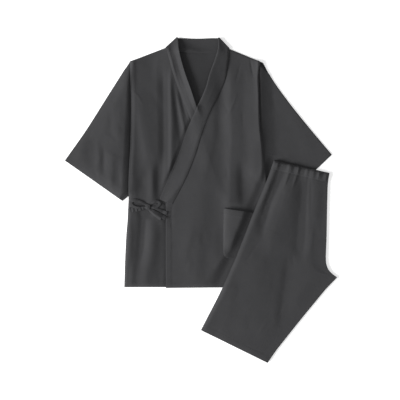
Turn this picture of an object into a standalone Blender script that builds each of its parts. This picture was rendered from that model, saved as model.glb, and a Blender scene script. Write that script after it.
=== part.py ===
"""Jinbei set laid flat: a crossed jacket, with its short trousers folded over the lower corner.

Lengths are in millimetres until a mesh is made.  The layout plane has `across` from the jacket's
centre line and `up` from its hem; z is the height above the surface that the set lies on.
Left and right are the wearer's.  Every layer of cloth is draped over the layers made before it.
"""
import math
from collections import namedtuple

import bmesh
import bpy
import numpy as np
from mathutils.bvhtree import BVHTree

MM = 0.001

# Cloth
CLOTH = 1.2                 # wall of one layer
COLLAR_CLOTH = 1.8          # folded collar band
TAPE_CLOTH = 1.2            # sewn tie tape
GAP = 0.3                   # between neighbouring pieces
SEAM = 6.0                  # width that lies hidden under a neighbour at a seam
SLEEVE_TUCK = 10.0          # upper layer of a sleeve, under the edge of the front
LOFT = 2.6                  # how far loose cloth stands off the layer below
EDGE_FADE = 26.0            # strip along a sewn edge where the loft dies out
FOLD_BELL = 0.36            # spread of a fold's bell curve, as a share of its width
PRESS_FADE = 30.0           # strip where cloth flattens as it goes under the trousers
PRESS_REACH = 18.0          # how much of that strip lies outside them

# Jacket
FRONT_OVERLAP = 96.0        # free edge of a front, past the centre line
HEM_HALF = 225.0            # half the width of the hem
UNDERARM_HALF = 211.0
UNDERARM_UP = 289.0
COLLAR_END_UP = 258.0
OVER_HEM_DROP = 2.5         # the over front hangs a little lower than the back

# Pocket
POCKET_LEFT, POCKET_RIGHT = 82.0, 202.0
POCKET_TOP, POCKET_DEPTH = 244.0, 152.0
POCKET_SLOPE = -0.15        # rise of its top edge for each millimetre across
POCKET_CORNER = 14.0

# Trousers: their own frame starts at the outer end of the waist and turns with the outer edge
TROUSERS_AT = (237.8, 391.8)
TROUSERS_TURN = math.radians(23.45)
WAISTBAND_LAP = 4.0         # casing, over the top of the leg
GATHERS = 14
GATHER_STEPS = 4            # sections of the casing for each gather
GATHER_HEIGHT = 2.2
HIDDEN_LAYERS = 3
LAYER_ROUND = 1.0           # rounding of the outermost hidden edges
LAYER_GROOVE = 1.6          # depth of the groove between two hidden layers

# Sections of each grid
FRONT_COLUMNS = 35
COLLAR_ROWS, FREE_EDGE_ROWS = 15, 7     # of a front, beside its collar and below it
COLLAR_SECTIONS, COLLAR_COLUMNS = 27, 4
SLEEVE_SECTIONS, SLEEVE_COLUMNS = 9, 12
LEG_COLUMNS = 22

Point = namedtuple("Point", "across up")
Fold = namedtuple("Fold", "across up to_across to_up width height")
Tape = namedtuple("Tape", "across up lift width roll")

RIGHT_SIDE = [
    Point(-207, 699), Point(-204, 590), Point(-204, 515), Point(-206, 440), Point(-211, 335),
    Point(-212, 239), Point(-218, 170), Point(-222, 93), Point(-HEM_HALF, 0),
]
LEFT_SIDE = [
    Point(194, 699), Point(191, 670), Point(192, 589), Point(196, 487), Point(205, 412),
    Point(211, 352), Point(214, 239), Point(218, 170), Point(222, 93), Point(HEM_HALF, 0),
]
BACK_TOP = [
    Point(-207, 699), Point(-98, 741), Point(-60, 734), Point(0, 731), Point(60, 733),
    Point(100, 738), Point(204, 695),
]
# Collar edges from the shoulder down; the over collar belongs to the left front
OVER_INNER = [
    Point(68, 773), Point(66, 741), Point(55, 701), Point(40, 661), Point(29, 621), Point(0, 555),
    Point(-31, 484), Point(-50, 426), Point(-80, 354), Point(-115, 272),
]
OVER_OUTER = [
    Point(101, 739), Point(100, 716), Point(94, 676), Point(87, 632), Point(74, 604), Point(53, 541),
    Point(19, 465), Point(-15, 384), Point(-43, 322), Point(-77, 257),
]
UNDER_INNER = [
    Point(-62, 774), Point(-53, 719), Point(-38, 665), Point(-19, 611), Point(0, 555),
    Point(31, 484), Point(50, 426), Point(80, 354), Point(115, 272),
]
UNDER_OUTER = [
    Point(-98, 741), Point(-90, 719), Point(-75, 665), Point(-62, 626), Point(-40, 570),
    Point(-18, 515), Point(15, 400), Point(43, 322), Point(77, 257),
]
NECK_TOP = [Point(-62, 774), Point(-30, 770), Point(0, 769), Point(35, 770), Point(68, 773)]
NECK_SEAM = [Point(-98, 741), Point(-60, 728), Point(0, 725), Point(60, 727), Point(101, 739)]

RIGHT_SLEEVE_TOP = [Point(-208, 699), Point(-409, 392)]
RIGHT_CUFF_LOW = Point(-231, 267)
LEFT_SLEEVE_TOP = [Point(205, 695), Point(232, 651), Point(286, 577), Point(346, 502), Point(418, 411)]
LEFT_CUFF_LOW = Point(260, 260)
LEFT_UNDERARM = Point(212, 323)

# Trousers outline in its own frame: in from the outer edge, down from the waist
Cut = namedtuple("Cut", "inward down")
OUTER_EDGE = [Cut(2, 23), Cut(7, 186), Cut(12, 329), Cut(11, 425), Cut(2, 571)]
RISE_EDGE = [Cut(179, -9), Cut(200, 46), Cut(247, 161), Cut(266, 210)]
CROTCH_EDGE = [Cut(266, 210), Cut(276, 229), Cut(290, 243), Cut(306, 250), Cut(323, 254)]
INSEAM_EDGE = [Cut(323, 254), Cut(231, 582)]
WAIST_TOP = [Cut(0, 0), Cut(173, -33)]
WAIST_SEAM = [Cut(2, 23), Cut(179, -9)]

RIGHT_FRONT_FOLDS = [
    Fold(-91, 690, -90, 300, 30, 4.5),
    Fold(-71, 640, -68, 384, 24, -3.0),
    Fold(-62, 620, -36, 450, 22, 3.0),
    Fold(-190, 690, -186, 440, 30, 2.0),
    Fold(-133, 560, -133, 330, 48, -2.6),
    Fold(-139, 362, -142, 262, 26, 4.0),
    Fold(-116, 352, -122, 262, 20, -2.6),
    Fold(-168, 356, -166, 262, 18, -2.6),
    Fold(-183, 236, -202, 20, 26, -2.6),
    Fold(-156, 236, -188, 10, 32, 4.5),
    Fold(-132, 190, -136, 4, 32, -2.6),
]
LEFT_FRONT_FOLDS = [
    Fold(95, 660, 90, 290, 44, 4.0),
    Fold(132, 640, 131, 400, 28, -2.6),
    Fold(164, 620, 165, 460, 46, 3.0),
    Fold(135, 410, 140, 236, 38, -2.6),
    Fold(62, 520, 20, 296, 24, -2.6),
    Fold(-18, 250, -26, 200, 60, 2.6),
    Fold(-20, 190, -56, 60, 40, 3.0),
    Fold(40, 200, 30, 20, 50, -2.0),
]
RIGHT_SLEEVE_FOLDS = [
    Fold(-230, 660, -226, 290, 30, -2.6),
    Fold(-276, 420, -270, 318, 24, 3.5),
    Fold(-318, 440, -314, 350, 22, 3.0),
    Fold(-296, 520, -300, 350, 26, -2.0),
]
LEFT_SLEEVE_FOLDS = [
    Fold(222, 640, 232, 400, 44, -2.6),
    Fold(300, 560, 330, 400, 60, 2.5),
]
TROUSER_FOLDS = [
    Fold(251, 362, 190, 180, 26, -2.6),
    Fold(222, 330, 168, 140, 34, 2.6),
    Fold(298, 350, 296, 90, 62, -2.6),
    Fold(352, 335, 350, 140, 46, 3.0),
    Fold(258, 0, 246, -120, 50, -2.6),
]

# Tie tapes: height of the tape's middle over what it lies on, its width, and its roll in degrees
SIDE_TIE = [
    Tape(-213, 238, 0.0, 15, 0), Tape(-200, 239, 1.4, 15, 0), Tape(-192, 240, 0.3, 14, 0),
    Tape(-184, 241, 1.5, 13, 0), Tape(-177, 242, 0.4, 12, 0), Tape(-169, 244, 1.2, 10, 0),
    Tape(-160, 246, 0.6, 8, 0),
]
FRONT_TIE = [
    Tape(-88, 222, 0.0, 13, 0), Tape(-102, 229, 0.4, 13, 0), Tape(-118, 237, 0.8, 12, 0),
    Tape(-130, 243, 0.8, 10, 0), Tape(-143, 247, 0.8, 7, 0),
]
SIDE_LOOP = [
    Tape(-158, 255, 6.0, 5, 30), Tape(-172, 260, 6.0, 8, 40), Tape(-186, 264, 5.6, 10, 50),
    Tape(-198, 265, 5.2, 10, 60), Tape(-205, 261, 5.0, 9, 70), Tape(-206, 256, 5.0, 9, 70),
    Tape(-200, 252, 5.6, 9, 55), Tape(-188, 251, 6.0, 8, 35), Tape(-174, 249, 6.0, 6, 25),
    Tape(-159.2, 247, 6.0, 5, 20),
]
FRONT_LOOP = [
    Tape(-145.2, 255, 6.0, 5, 30), Tape(-134, 260, 6.0, 7, 45), Tape(-124, 264, 5.6, 9, 55),
    Tape(-116, 264, 5.2, 9, 65), Tape(-112, 260, 5.0, 9, 72), Tape(-115, 255, 5.2, 8, 65),
    Tape(-124, 252, 5.8, 7, 40), Tape(-133, 250, 6.0, 6, 25), Tape(-143.8, 247, 6.0, 5, 20),
]
LONG_TAIL = [
    Tape(-145, 239, 0.8, 6, 0), Tape(-134, 231, 0.6, 10, 0), Tape(-120, 222, 0.3, 12, 0),
    Tape(-106, 213, 0.3, 13, 0), Tape(-94, 206, 0.3, 13, 0),
]
SHORT_TAIL = [
    Tape(-149.2, 239.2, 3.6, 4, 20), Tape(-142, 230, 4.4, 7, 26), Tape(-130, 220, 4.8, 9, 26),
    Tape(-119, 211, 4.4, 9, 24), Tape(-111, 204, 4.0, 9, 22),
]
KNOT_AT = Point(-151.5, 248.5)
KNOT_SIZE = (15.0, 18.0, 9.0)   # across, up and in height
KNOT_SIDES, KNOT_RINGS = 14, 6

COTTON = (0.052, 0.052, 0.054)

laid = []       # vertices and triangles of each layer laid so far, in millimetres


# ---------------------------------------------------------------- plan shapes

def smooth(value):
    """Ease from 0 to 1 as the value goes from 0 to 1."""
    value = np.clip(value, 0.0, 1.0)
    return value * value * (3.0 - 2.0 * value)


def along(points, steps):
    """Points at equal distances along a polyline, its ends among them."""
    points = np.array(points, float)
    lengths = np.hypot(*np.diff(points, axis=0).T)
    reached = np.concatenate([[0.0], np.cumsum(lengths)])
    wanted = np.linspace(0.0, reached[-1], steps + 1)
    return np.stack([np.interp(wanted, reached, points[:, axis]) for axis in (0, 1)], axis=1)


def joined(*rails):
    """One rail out of several that meet end to end."""
    return np.concatenate([rails[0]] + [rail[1:] for rail in rails[1:]])


def moved(points, across=0.0, up=0.0):
    return [Point(p[0] + across, p[1] + up) for p in points]


def panel(first, last, start, end):
    """Grid between two rails and the two edges that join their ends, rows along the rails."""
    rows, columns = len(first), len(start)
    v = np.linspace(0.0, 1.0, rows)[:, None, None]
    u = np.linspace(0.0, 1.0, columns)[None, :, None]
    between_rails = first[:, None] * (1 - u) + last[:, None] * u
    between_ends = start[None] * (1 - v) + end[None] * v
    corners = (start[0] * (1 - u) + start[-1] * u) * (1 - v) + (end[0] * (1 - u) + end[-1] * u) * v
    return between_rails + between_ends - corners


def straight(first, last, columns):
    """Grid of straight sections from one rail to the other."""
    u = np.linspace(0.0, 1.0, columns + 1)[None, :, None]
    return first[:, None] * (1 - u) + last[:, None] * u


def trouser_point(cut):
    """A point of the trousers' own frame, on the layout plane."""
    cos, sin = math.cos(TROUSERS_TURN), math.sin(TROUSERS_TURN)
    return Point(TROUSERS_AT[0] + cut.inward * cos - cut.down * sin,
                 TROUSERS_AT[1] - cut.inward * sin - cut.down * cos)


def on_layout(cuts):
    return [trouser_point(cut) for cut in cuts]


# ---------------------------------------------------------------- relief

def fold_height(plan, fold):
    """Soft ridge or trough along a line, dying out at both ends."""
    start = np.array([fold.across, fold.up])
    run = np.array([fold.to_across, fold.to_up]) - start
    length = np.hypot(*run)
    run = run / length
    offset = plan - start
    along_run = offset @ run
    aside = offset @ np.array([-run[1], run[0]])
    fade = fold.width * 1.2
    ends = smooth((along_run + fade) / (2 * fade)) * smooth((length + fade - along_run) / (2 * fade))
    return fold.height * ends * np.exp(-(aside / (fold.width * FOLD_BELL)) ** 2)


def left_of(plan, start, end):
    """Distance of each point to the left of the line from start to end."""
    run = np.subtract(end, start) / np.hypot(*np.subtract(end, start))
    return (plan - np.array(start)) @ np.array([-run[1], run[0]])


def pressed(plan):
    """1 where the cloth lies free, 0 where the trousers press on it."""
    waist, far = on_layout(WAIST_TOP)
    hem = trouser_point(OUTER_EDGE[-1])
    past_edge, past_waist = (smooth((left_of(plan, *line) + PRESS_REACH) / PRESS_FADE)
                             for line in ((waist, hem), (far, waist)))
    return 1.0 - past_edge * past_waist


def edge_fade(plan):
    """1 inside the panel, 0 along its two rails and its first edge, which are sewn down."""
    steps = np.linalg.norm(np.diff(plan, axis=1), axis=2)
    across = np.concatenate([np.zeros((len(plan), 1)), np.cumsum(steps, axis=1)], axis=1)
    steps = np.linalg.norm(np.diff(plan, axis=0), axis=2)
    down = np.concatenate([np.zeros((1, plan.shape[1])), np.cumsum(steps, axis=0)])
    fade = np.ones(plan.shape[:2])
    for distance in (across, across[:, -1:] - across, down):
        fade *= smooth(distance / EDGE_FADE)
    return fade


def relief(plan, folds, fade):
    """Height of loose cloth over the layer below, never under it."""
    height = np.full(plan.shape[:2], LOFT)
    for fold in folds:
        height = height + fold_height(plan, fold)
    return np.maximum(height, 0.0) * fade


# ---------------------------------------------------------------- layers

def support(plan, samples=4):
    """Highest point of the layers under each cell, carried to the cell's corners."""
    need = np.zeros(plan.shape[:2])
    if not laid:
        return need
    points, triangles = [], []
    for vertices, faces in laid:
        triangles += [tuple(i + len(points) for i in face) for face in faces]
        points += [tuple(v) for v in vertices]
    tree = BVHTree.FromPolygons(points, triangles)
    steps = np.linspace(0.0, 1.0, samples)
    for i in range(plan.shape[0] - 1):
        for j in range(plan.shape[1] - 1):
            a, b = plan[i, j], plan[i, j + 1]
            c, d = plan[i + 1, j], plan[i + 1, j + 1]
            highest = 0.0
            for v in steps:
                for u in steps:
                    x, y = (a * (1 - u) + b * u) * (1 - v) + (c * (1 - u) + d * u) * v
                    hit = tree.ray_cast((x, y, 500.0), (0.0, 0.0, -1.0))[0]
                    if hit is not None:
                        highest = max(highest, hit.z + GAP)
            block = need[i:i + 2, j:j + 2]
            np.maximum(block, highest, out=block)
    return need


def drape(plan, passes=24, samples=4):
    """Underside of a layer that rests on the layers below and slopes down past their edges."""
    need = support(plan, samples)
    height = need
    for _ in range(passes):
        padded = np.pad(height, 1, mode="edge")
        around = padded[:-2, 1:-1] + padded[2:, 1:-1] + padded[1:-1, :-2] + padded[1:-1, 2:]
        height = np.maximum(need, around / 4.0)
    return height


def grid_faces(rows, columns, start=0):
    """Two triangles for each cell of a grid whose first vertex is `start`."""
    faces = []
    for i in range(rows - 1):
        for j in range(columns - 1):
            a = start + i * columns + j
            b, c, d = a + 1, a + columns + 1, a + columns
            faces += [(a, b, c), (a, c, d)]
    return faces


def strip_faces(upper, lower):
    """Wall between two rows of the same number of vertices."""
    faces = []
    for k in range(len(upper) - 1):
        faces += [(upper[k], lower[k], lower[k + 1]), (upper[k], lower[k + 1], upper[k + 1])]
    return faces


def rim(rows, columns):
    """Vertex numbers around a grid, back to the first."""
    top = list(range(columns))
    right = [i * columns + columns - 1 for i in range(1, rows)]
    bottom = [(rows - 1) * columns + j for j in range(columns - 2, -1, -1)]
    left = [i * columns for i in range(rows - 2, -1, -1)]
    return top + right + bottom + left


def material(name, colour=COTTON, roughness=0.9):
    made = bpy.data.materials.get(name) or bpy.data.materials.new(name)
    made.use_nodes = True
    shader = made.node_tree.nodes["Principled BSDF"]
    shader.inputs["Base Color"].default_value = (*colour, 1.0)
    shader.inputs["Roughness"].default_value = roughness
    shader.inputs["Metallic"].default_value = 0.0
    return made


def add_piece(name, vertices, faces):
    """Make one closed solid out of a shell in millimetres."""
    mesh = bpy.data.meshes.new(name)
    mesh.from_pydata([tuple(np.array(v) * MM) for v in vertices], [], faces)
    shell = bmesh.new()
    shell.from_mesh(mesh)
    bmesh.ops.recalc_face_normals(shell, faces=shell.faces)
    if shell.calc_volume(signed=True) < 0:
        bmesh.ops.reverse_faces(shell, faces=shell.faces)
    shell.to_mesh(mesh)
    shell.free()
    mesh.materials.append(material(name + "_cotton"))
    mesh.shade_smooth()
    mesh.set_sharp_from_angle(angle=math.radians(40))
    piece = bpy.data.objects.new(name, mesh)
    bpy.context.scene.collection.objects.link(piece)


def lay(name, vertices, faces):
    """Make a solid and let later layers drape over it."""
    add_piece(name, vertices, faces)
    laid.append((vertices, faces))


def lay_sheet(name, plan, underside, thickness=CLOTH):
    """Layer of even thickness over the plan, from its underside up."""
    rows, columns = plan.shape[:2]
    count = rows * columns
    top = np.dstack([plan, underside + thickness]).reshape(-1, 3)
    bottom = np.dstack([plan, underside]).reshape(-1, 3)
    around = rim(rows, columns)
    faces = grid_faces(rows, columns) + grid_faces(rows, columns, count)
    faces += strip_faces(around, [k + count for k in around])
    lay(name, np.concatenate([top, bottom]).tolist(), faces)


def lay_tube(name, low_plan, top_plan, height, thickness=CLOTH):
    """Flattened tube, open at both ends: a layer on the floor, a raised one, and two round folds."""
    rows, columns = low_plan.shape[:2]
    count = rows * columns
    level = np.zeros((rows, columns))
    grids = [
        np.dstack([top_plan, height + thickness]),      # outside, above
        np.dstack([top_plan, height]),                  # inside, above
        np.dstack([low_plan, level + thickness]),       # inside, below
        np.dstack([low_plan, level]),                   # outside, below
    ]
    vertices = [point for grid in grids for point in grid.reshape(-1, 3).tolist()]
    faces = [face for layer in range(4) for face in grid_faces(rows, columns, layer * count)]
    half = thickness + GAP / 2
    for edge, neighbour in ((0, 1), (columns - 1, columns - 2)):
        outward = low_plan[:, edge] - low_plan[:, neighbour]
        outward = outward / np.linalg.norm(outward, axis=1)[:, None] * half
        middle = np.column_stack([low_plan[:, edge] + outward, (height[:, edge] + thickness) / 2])
        fold = [len(vertices) + i for i in range(rows)]
        vertices += middle.tolist()
        outer_top, inner_top, inner_low, outer_low = (
            [layer * count + i * columns + edge for i in range(rows)] for layer in range(4))
        faces += strip_faces(outer_top, fold) + strip_faces(fold, outer_low)
        faces += strip_faces(inner_low, inner_top)
        for end in (0, rows - 1):
            ring = [inner_low[end], inner_top[end], outer_top[end], fold[end], outer_low[end]]
            faces += [(ring[0], ring[k], ring[k + 1]) for k in (1, 2, 3)]
    for end in (0, rows - 1):
        outer_top, inner_top, inner_low, outer_low = (
            [layer * count + end * columns + j for j in range(columns)] for layer in range(4))
        faces += strip_faces(inner_top, outer_top) + strip_faces(outer_low, inner_low)
    lay(name, vertices, faces)


# ---------------------------------------------------------------- jacket

def make_back():
    right = joined(along([RIGHT_SIDE[0], Point(-UNDERARM_HALF, UNDERARM_UP)], 2),
                   along([Point(-UNDERARM_HALF, UNDERARM_UP), RIGHT_SIDE[-1]], 2))
    left = joined(along([BACK_TOP[-1], LEFT_UNDERARM], 2), along([LEFT_UNDERARM, LEFT_SIDE[-1]], 2))
    plan = panel(right, left, along(BACK_TOP, 12), along([RIGHT_SIDE[-1], LEFT_SIDE[-1]], 12))
    lay_sheet("back_panel", plan, np.zeros(plan.shape[:2]))


def make_sleeve(name, top_edge, underarm, cuff_low, folds, side):
    """Drooping sleeve from its seam beside the back to the cuff, from shoulder fold to underarm."""
    seam = along([top_edge[0], underarm], SLEEVE_COLUMNS) + np.array([side * GAP, 0.0])
    fold = along(top_edge, SLEEVE_SECTIONS)
    fold[0] = seam[0]
    lower = along([seam[-1], cuff_low], SLEEVE_SECTIONS)
    cuff = along([top_edge[-1], cuff_low], SLEEVE_COLUMNS)
    low_plan = panel(fold, lower, seam, cuff)
    top_plan = low_plan.copy()
    top_plan[0, :, 0] -= side * SLEEVE_TUCK
    rise = relief(top_plan, folds, edge_fade(top_plan) * pressed(top_plan))
    lay_tube(name, low_plan, top_plan, CLOTH + GAP + rise)


def make_neck_collar():
    plan = straight(along(NECK_TOP, 12), along(NECK_SEAM, 12), COLLAR_COLUMNS)
    lay_sheet("collar_neck", plan, drape(plan), COLLAR_CLOTH)


def over_edge(up):
    """How far across the over front and its collar reach at each height."""
    edge = OVER_INNER[::-1]
    collar = np.interp(up, [p.up for p in edge], [p.across for p in edge])
    return np.where(up < COLLAR_END_UP, -FRONT_OVERLAP, collar)


def front_rail(collar_seam, free_end):
    """Inner edge of a front: under its collar, then free down to the hem."""
    free_top = Point(free_end.across, COLLAR_END_UP)
    return joined(along(collar_seam + [free_top], COLLAR_ROWS), along([free_top, free_end], FREE_EDGE_ROWS))


def make_right_front():
    """The under front, flat where the over front hides it."""
    collar_seam = moved(UNDER_OUTER[:-1], SEAM)
    free_end = Point(FRONT_OVERLAP, 0)
    side = along(RIGHT_SIDE, COLLAR_ROWS + FREE_EDGE_ROWS)
    shoulder = along([RIGHT_SIDE[0], collar_seam[0]], FRONT_COLUMNS)
    hem = along([RIGHT_SIDE[-1], free_end], FRONT_COLUMNS)
    plan = panel(side, front_rail(collar_seam, free_end), shoulder, hem)
    showing = smooth((over_edge(plan[..., 1]) - plan[..., 0]) / (EDGE_FADE / 2))
    rise = relief(plan, RIGHT_FRONT_FOLDS, edge_fade(plan) * showing)
    lay_sheet("right_front", plan, drape(plan) + rise)


def make_left_front():
    """The over front, flat where the trousers lie on it."""
    collar_seam = moved(OVER_OUTER[:-1], -SEAM)
    free_end = Point(-FRONT_OVERLAP, -OVER_HEM_DROP)
    side = along(LEFT_SIDE, COLLAR_ROWS + FREE_EDGE_ROWS)
    shoulder = along([collar_seam[0], LEFT_SIDE[0]], FRONT_COLUMNS)
    hem = along([free_end, LEFT_SIDE[-1]], FRONT_COLUMNS)
    plan = panel(front_rail(collar_seam, free_end), side, shoulder, hem)
    rise = relief(plan, LEFT_FRONT_FOLDS, edge_fade(plan) * pressed(plan))
    lay_sheet("left_front", plan, drape(plan) + rise)


def make_collar(name, inner, outer):
    plan = straight(along(inner, COLLAR_SECTIONS), along(outer, COLLAR_SECTIONS), COLLAR_COLUMNS)
    lay_sheet(name, plan, drape(plan, samples=5), COLLAR_CLOTH)


def make_pocket():
    """Patch on the left front with rounded lower corners; its mouth stands a little open."""
    rows, columns = 10, 10
    across = np.linspace(0.0, 1.0, columns + 1)
    width = POCKET_RIGHT - POCKET_LEFT
    x = POCKET_LEFT + width * across
    top = POCKET_TOP + POCKET_SLOPE * width * across
    from_side = np.minimum(x - POCKET_LEFT, POCKET_RIGHT - x)
    cut = np.clip(POCKET_CORNER - from_side, 0.0, None)
    corner = POCKET_CORNER - np.sqrt(POCKET_CORNER ** 2 - cut ** 2)
    down = np.linspace(0.0, 1.0, rows + 1)[:, None]
    y = top - (POCKET_DEPTH - corner) * down
    plan = np.dstack([np.broadcast_to(x, y.shape), y])
    mouth = 1.6 * np.sin(math.pi * across) * smooth(1.0 - down / 0.35) * pressed(plan)
    lay_sheet("pocket", plan, drape(plan, passes=4) + mouth)


# ---------------------------------------------------------------- ties

def tie_tape(name, sections):
    """Flat tape through its sections, each rolled about the tape's run."""
    middle = np.array([[s.across, s.up] for s in sections], float)
    run = np.gradient(middle, axis=0)
    run /= np.linalg.norm(run, axis=1)[:, None]
    aside = np.column_stack([-run[:, 1], run[:, 0]])
    flat = np.array([s.width * math.cos(math.radians(s.roll)) for s in sections])
    reach = np.maximum(np.abs(flat), 3.0)[:, None] / 2
    footprint = np.stack([middle - aside * reach, middle, middle + aside * reach], axis=1)
    rest = support(footprint, 3).max(axis=1)
    vertices = []
    for k, section in enumerate(sections):
        roll = math.radians(section.roll)
        wide = np.array([*(aside[k] * math.cos(roll)), math.sin(roll)]) * section.width / 2
        deep = np.array([*(-aside[k] * math.sin(roll)), math.cos(roll)]) * TAPE_CLOTH / 2
        stand = abs(wide[2]) + abs(deep[2])
        centre = np.array([*middle[k], rest[k] + max(section.lift, stand)])
        if section.lift <= stand:
            centre[2] = rest[k] + stand + section.lift
        vertices += [centre + wide + deep, centre - wide + deep, centre - wide - deep, centre + wide - deep]
    faces = []
    for k in range(len(sections) - 1):
        for side in range(4):
            a, b = 4 * k + side, 4 * k + (side + 1) % 4
            faces += [(a, b, b + 4), (a, b + 4, a + 4)]
    last = 4 * (len(sections) - 1)
    faces += [(2, 1, 0), (3, 2, 0), (last, last + 1, last + 2), (last, last + 2, last + 3)]
    add_piece(name, [v.tolist() for v in vertices], faces)


def squared(value):
    """A cosine or sine bent so that its circle becomes squarish."""
    return math.copysign(abs(value) ** 0.75, value)


def make_knot():
    """Rounded lump through rings, flat where it sits on the cloth."""
    wide, long, tall = KNOT_SIZE
    spot = np.array([[[KNOT_AT.across + x * wide / 2, KNOT_AT.up + y * long / 2] for x in (-1, 0, 1)]
                     for y in (-1, 0, 1)])
    floor = support(spot, 4).max()
    vertices, faces = [], []
    for level in range(KNOT_RINGS):
        rise = level / (KNOT_RINGS - 1)
        size = math.sqrt(1.0 - 0.9 * rise ** 4)
        for k in range(KNOT_SIDES):
            angle = 2 * math.pi * k / KNOT_SIDES
            x = KNOT_AT.across + squared(math.cos(angle)) * size * wide / 2
            y = KNOT_AT.up + squared(math.sin(angle)) * size * long / 2
            vertices.append([x, y, floor + rise * tall])
    for level in range(KNOT_RINGS - 1):
        for k in range(KNOT_SIDES):
            a, b = level * KNOT_SIDES + k, level * KNOT_SIDES + (k + 1) % KNOT_SIDES
            faces += [(a, b, b + KNOT_SIDES), (a, b + KNOT_SIDES, a + KNOT_SIDES)]
    for first in (0, (KNOT_RINGS - 1) * KNOT_SIDES):
        faces += [(first, first + k, first + k + 1) for k in range(1, KNOT_SIDES - 1)]
    add_piece("tie_knot", vertices, faces)


# ---------------------------------------------------------------- trousers

def leg_rails():
    """Outer edge, and the rise, crotch and inseam that face it."""
    inner = joined(along(on_layout(RISE_EDGE), 7), along(on_layout(CROTCH_EDGE), 4),
                   along(on_layout(INSEAM_EDGE), 11))
    return along(on_layout(OUTER_EDGE), len(inner) - 1), inner


def outward(edge):
    """Unit normals of a closed outline, pointing away from its middle."""
    run = np.roll(edge, -1, axis=0) - np.roll(edge, 1, axis=0)
    normal = np.column_stack([run[:, 1], -run[:, 0]])
    normal /= np.linalg.norm(normal, axis=1)[:, None]
    return normal * np.sign(np.sum(normal * (edge - edge.mean(axis=0))))


def make_hidden_layers():
    """The three layers under the one that shows, as one solid with a groove between their edges."""
    outer, inner = leg_rails()
    waist = np.array(on_layout(WAIST_TOP))
    plan = straight(np.concatenate([waist[:1], outer]), np.concatenate([waist[1:], inner]), 14)
    rows, columns = plan.shape[:2]
    count = rows * columns
    around = rim(rows, columns)[:-1]
    underside = drape(plan, passes=16).reshape(-1)
    edge = plan.reshape(-1, 2)[around]
    inward = -outward(edge)
    inset = plan.reshape(-1, 2).copy()
    inset[around] = edge + inward * LAYER_ROUND
    thickness = HIDDEN_LAYERS * CLOTH + (HIDDEN_LAYERS - 1) * GAP
    top = np.column_stack([inset, underside + thickness])
    bottom = np.column_stack([inset, underside])
    vertices = np.concatenate([top, bottom]).tolist()
    faces = grid_faces(rows, columns) + grid_faces(rows, columns, count)
    rings = [[k + count for k in around]]
    profile = []
    for layer in range(HIDDEN_LAYERS):
        low = layer * (CLOTH + GAP)
        profile += [(low + CLOTH / 2, 0.0), (low + CLOTH, LAYER_GROOVE)]
    for height, depth in profile[:-1]:
        rings.append([len(vertices) + k for k in range(len(around))])
        vertices += np.column_stack([edge + inward * depth, underside[around] + height]).tolist()
    rings.append(around)
    for lower, upper in zip(rings, rings[1:]):
        faces += strip_faces(upper + upper[:1], lower + lower[:1])
    lay("trouser_layers", vertices, faces)


def make_leg():
    """The one layer that shows, over the hidden ones."""
    plan = straight(*leg_rails(), LEG_COLUMNS)
    rise = relief(plan, TROUSER_FOLDS, edge_fade(plan))
    lay_sheet("trouser_leg", plan, drape(plan, passes=6) + rise)


def make_waistband():
    """Casing over the gathered top of the leg, with a wave for each gather."""
    columns = GATHERS * GATHER_STEPS
    low_edge = [Cut(cut.inward, cut.down + WAISTBAND_LAP) for cut in WAIST_SEAM]
    plan = straight(along(on_layout(WAIST_TOP), columns), along(on_layout(low_edge), columns), 3)
    across = np.linspace(0.0, 1.0, columns + 1)
    uneven = 0.75 + 0.25 * np.sin(9.0 * across + 1.0)
    wave = GATHER_HEIGHT * uneven * (0.5 - 0.5 * np.cos(2 * math.pi * GATHERS * across))
    from_top_to_seam = np.array([0.35, 1.0, 1.0, 0.7])
    lay_sheet("waistband", plan, drape(plan, passes=2) + wave[:, None] * from_top_to_seam)


# ---------------------------------------------------------------- set

def clear_scene():
    for item in list(bpy.data.objects):
        bpy.data.objects.remove(item, do_unlink=True)


def centre_on_origin():
    """Put the middle of the set's footprint over the origin, with its underside at zero."""
    pieces = [item for item in bpy.data.objects if item.type == "MESH"]
    corners = np.array([v.co[:] for piece in pieces for v in piece.data.vertices])
    low, high = corners.min(axis=0), corners.max(axis=0)
    shift = np.array([-(low[0] + high[0]) / 2, -(low[1] + high[1]) / 2, -low[2]])
    for piece in pieces:
        for vertex in piece.data.vertices:
            vertex.co += type(vertex.co)(shift)
        piece.data.update()


def main():
    clear_scene()
    make_back()
    make_neck_collar()
    make_sleeve("right_sleeve", RIGHT_SLEEVE_TOP, Point(-UNDERARM_HALF, UNDERARM_UP), RIGHT_CUFF_LOW,
                RIGHT_SLEEVE_FOLDS, -1)
    make_sleeve("left_sleeve", LEFT_SLEEVE_TOP, LEFT_UNDERARM, LEFT_CUFF_LOW, LEFT_SLEEVE_FOLDS, 1)
    make_right_front()
    make_collar("collar_right", UNDER_INNER, UNDER_OUTER)
    make_left_front()
    make_collar("collar_left", OVER_INNER, OVER_OUTER)
    make_pocket()
    tie_tape("side_tie", SIDE_TIE)
    make_knot()
    tie_tape("tie_loop_side", SIDE_LOOP)
    tie_tape("tie_loop_front", FRONT_LOOP)
    tie_tape("front_tie", FRONT_TIE)
    tie_tape("tie_tail_long", LONG_TAIL)
    tie_tape("tie_tail_short", SHORT_TAIL)
    make_hidden_layers()
    make_leg()
    make_waistband()
    centre_on_origin()


main()
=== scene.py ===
"""Jinbei set in charcoal cotton: a crossed jacket laid flat, with its short trousers over one corner.

Lengths in the tables are in millimetres on the layout plane: `across` from the jacket's centre line
and `up` from its hem.  Left and right are the wearer's.  Each layer of cloth is draped over the
layers below it, which `Ground` remembers as a field of heights.
"""
import math
from collections import namedtuple

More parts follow.
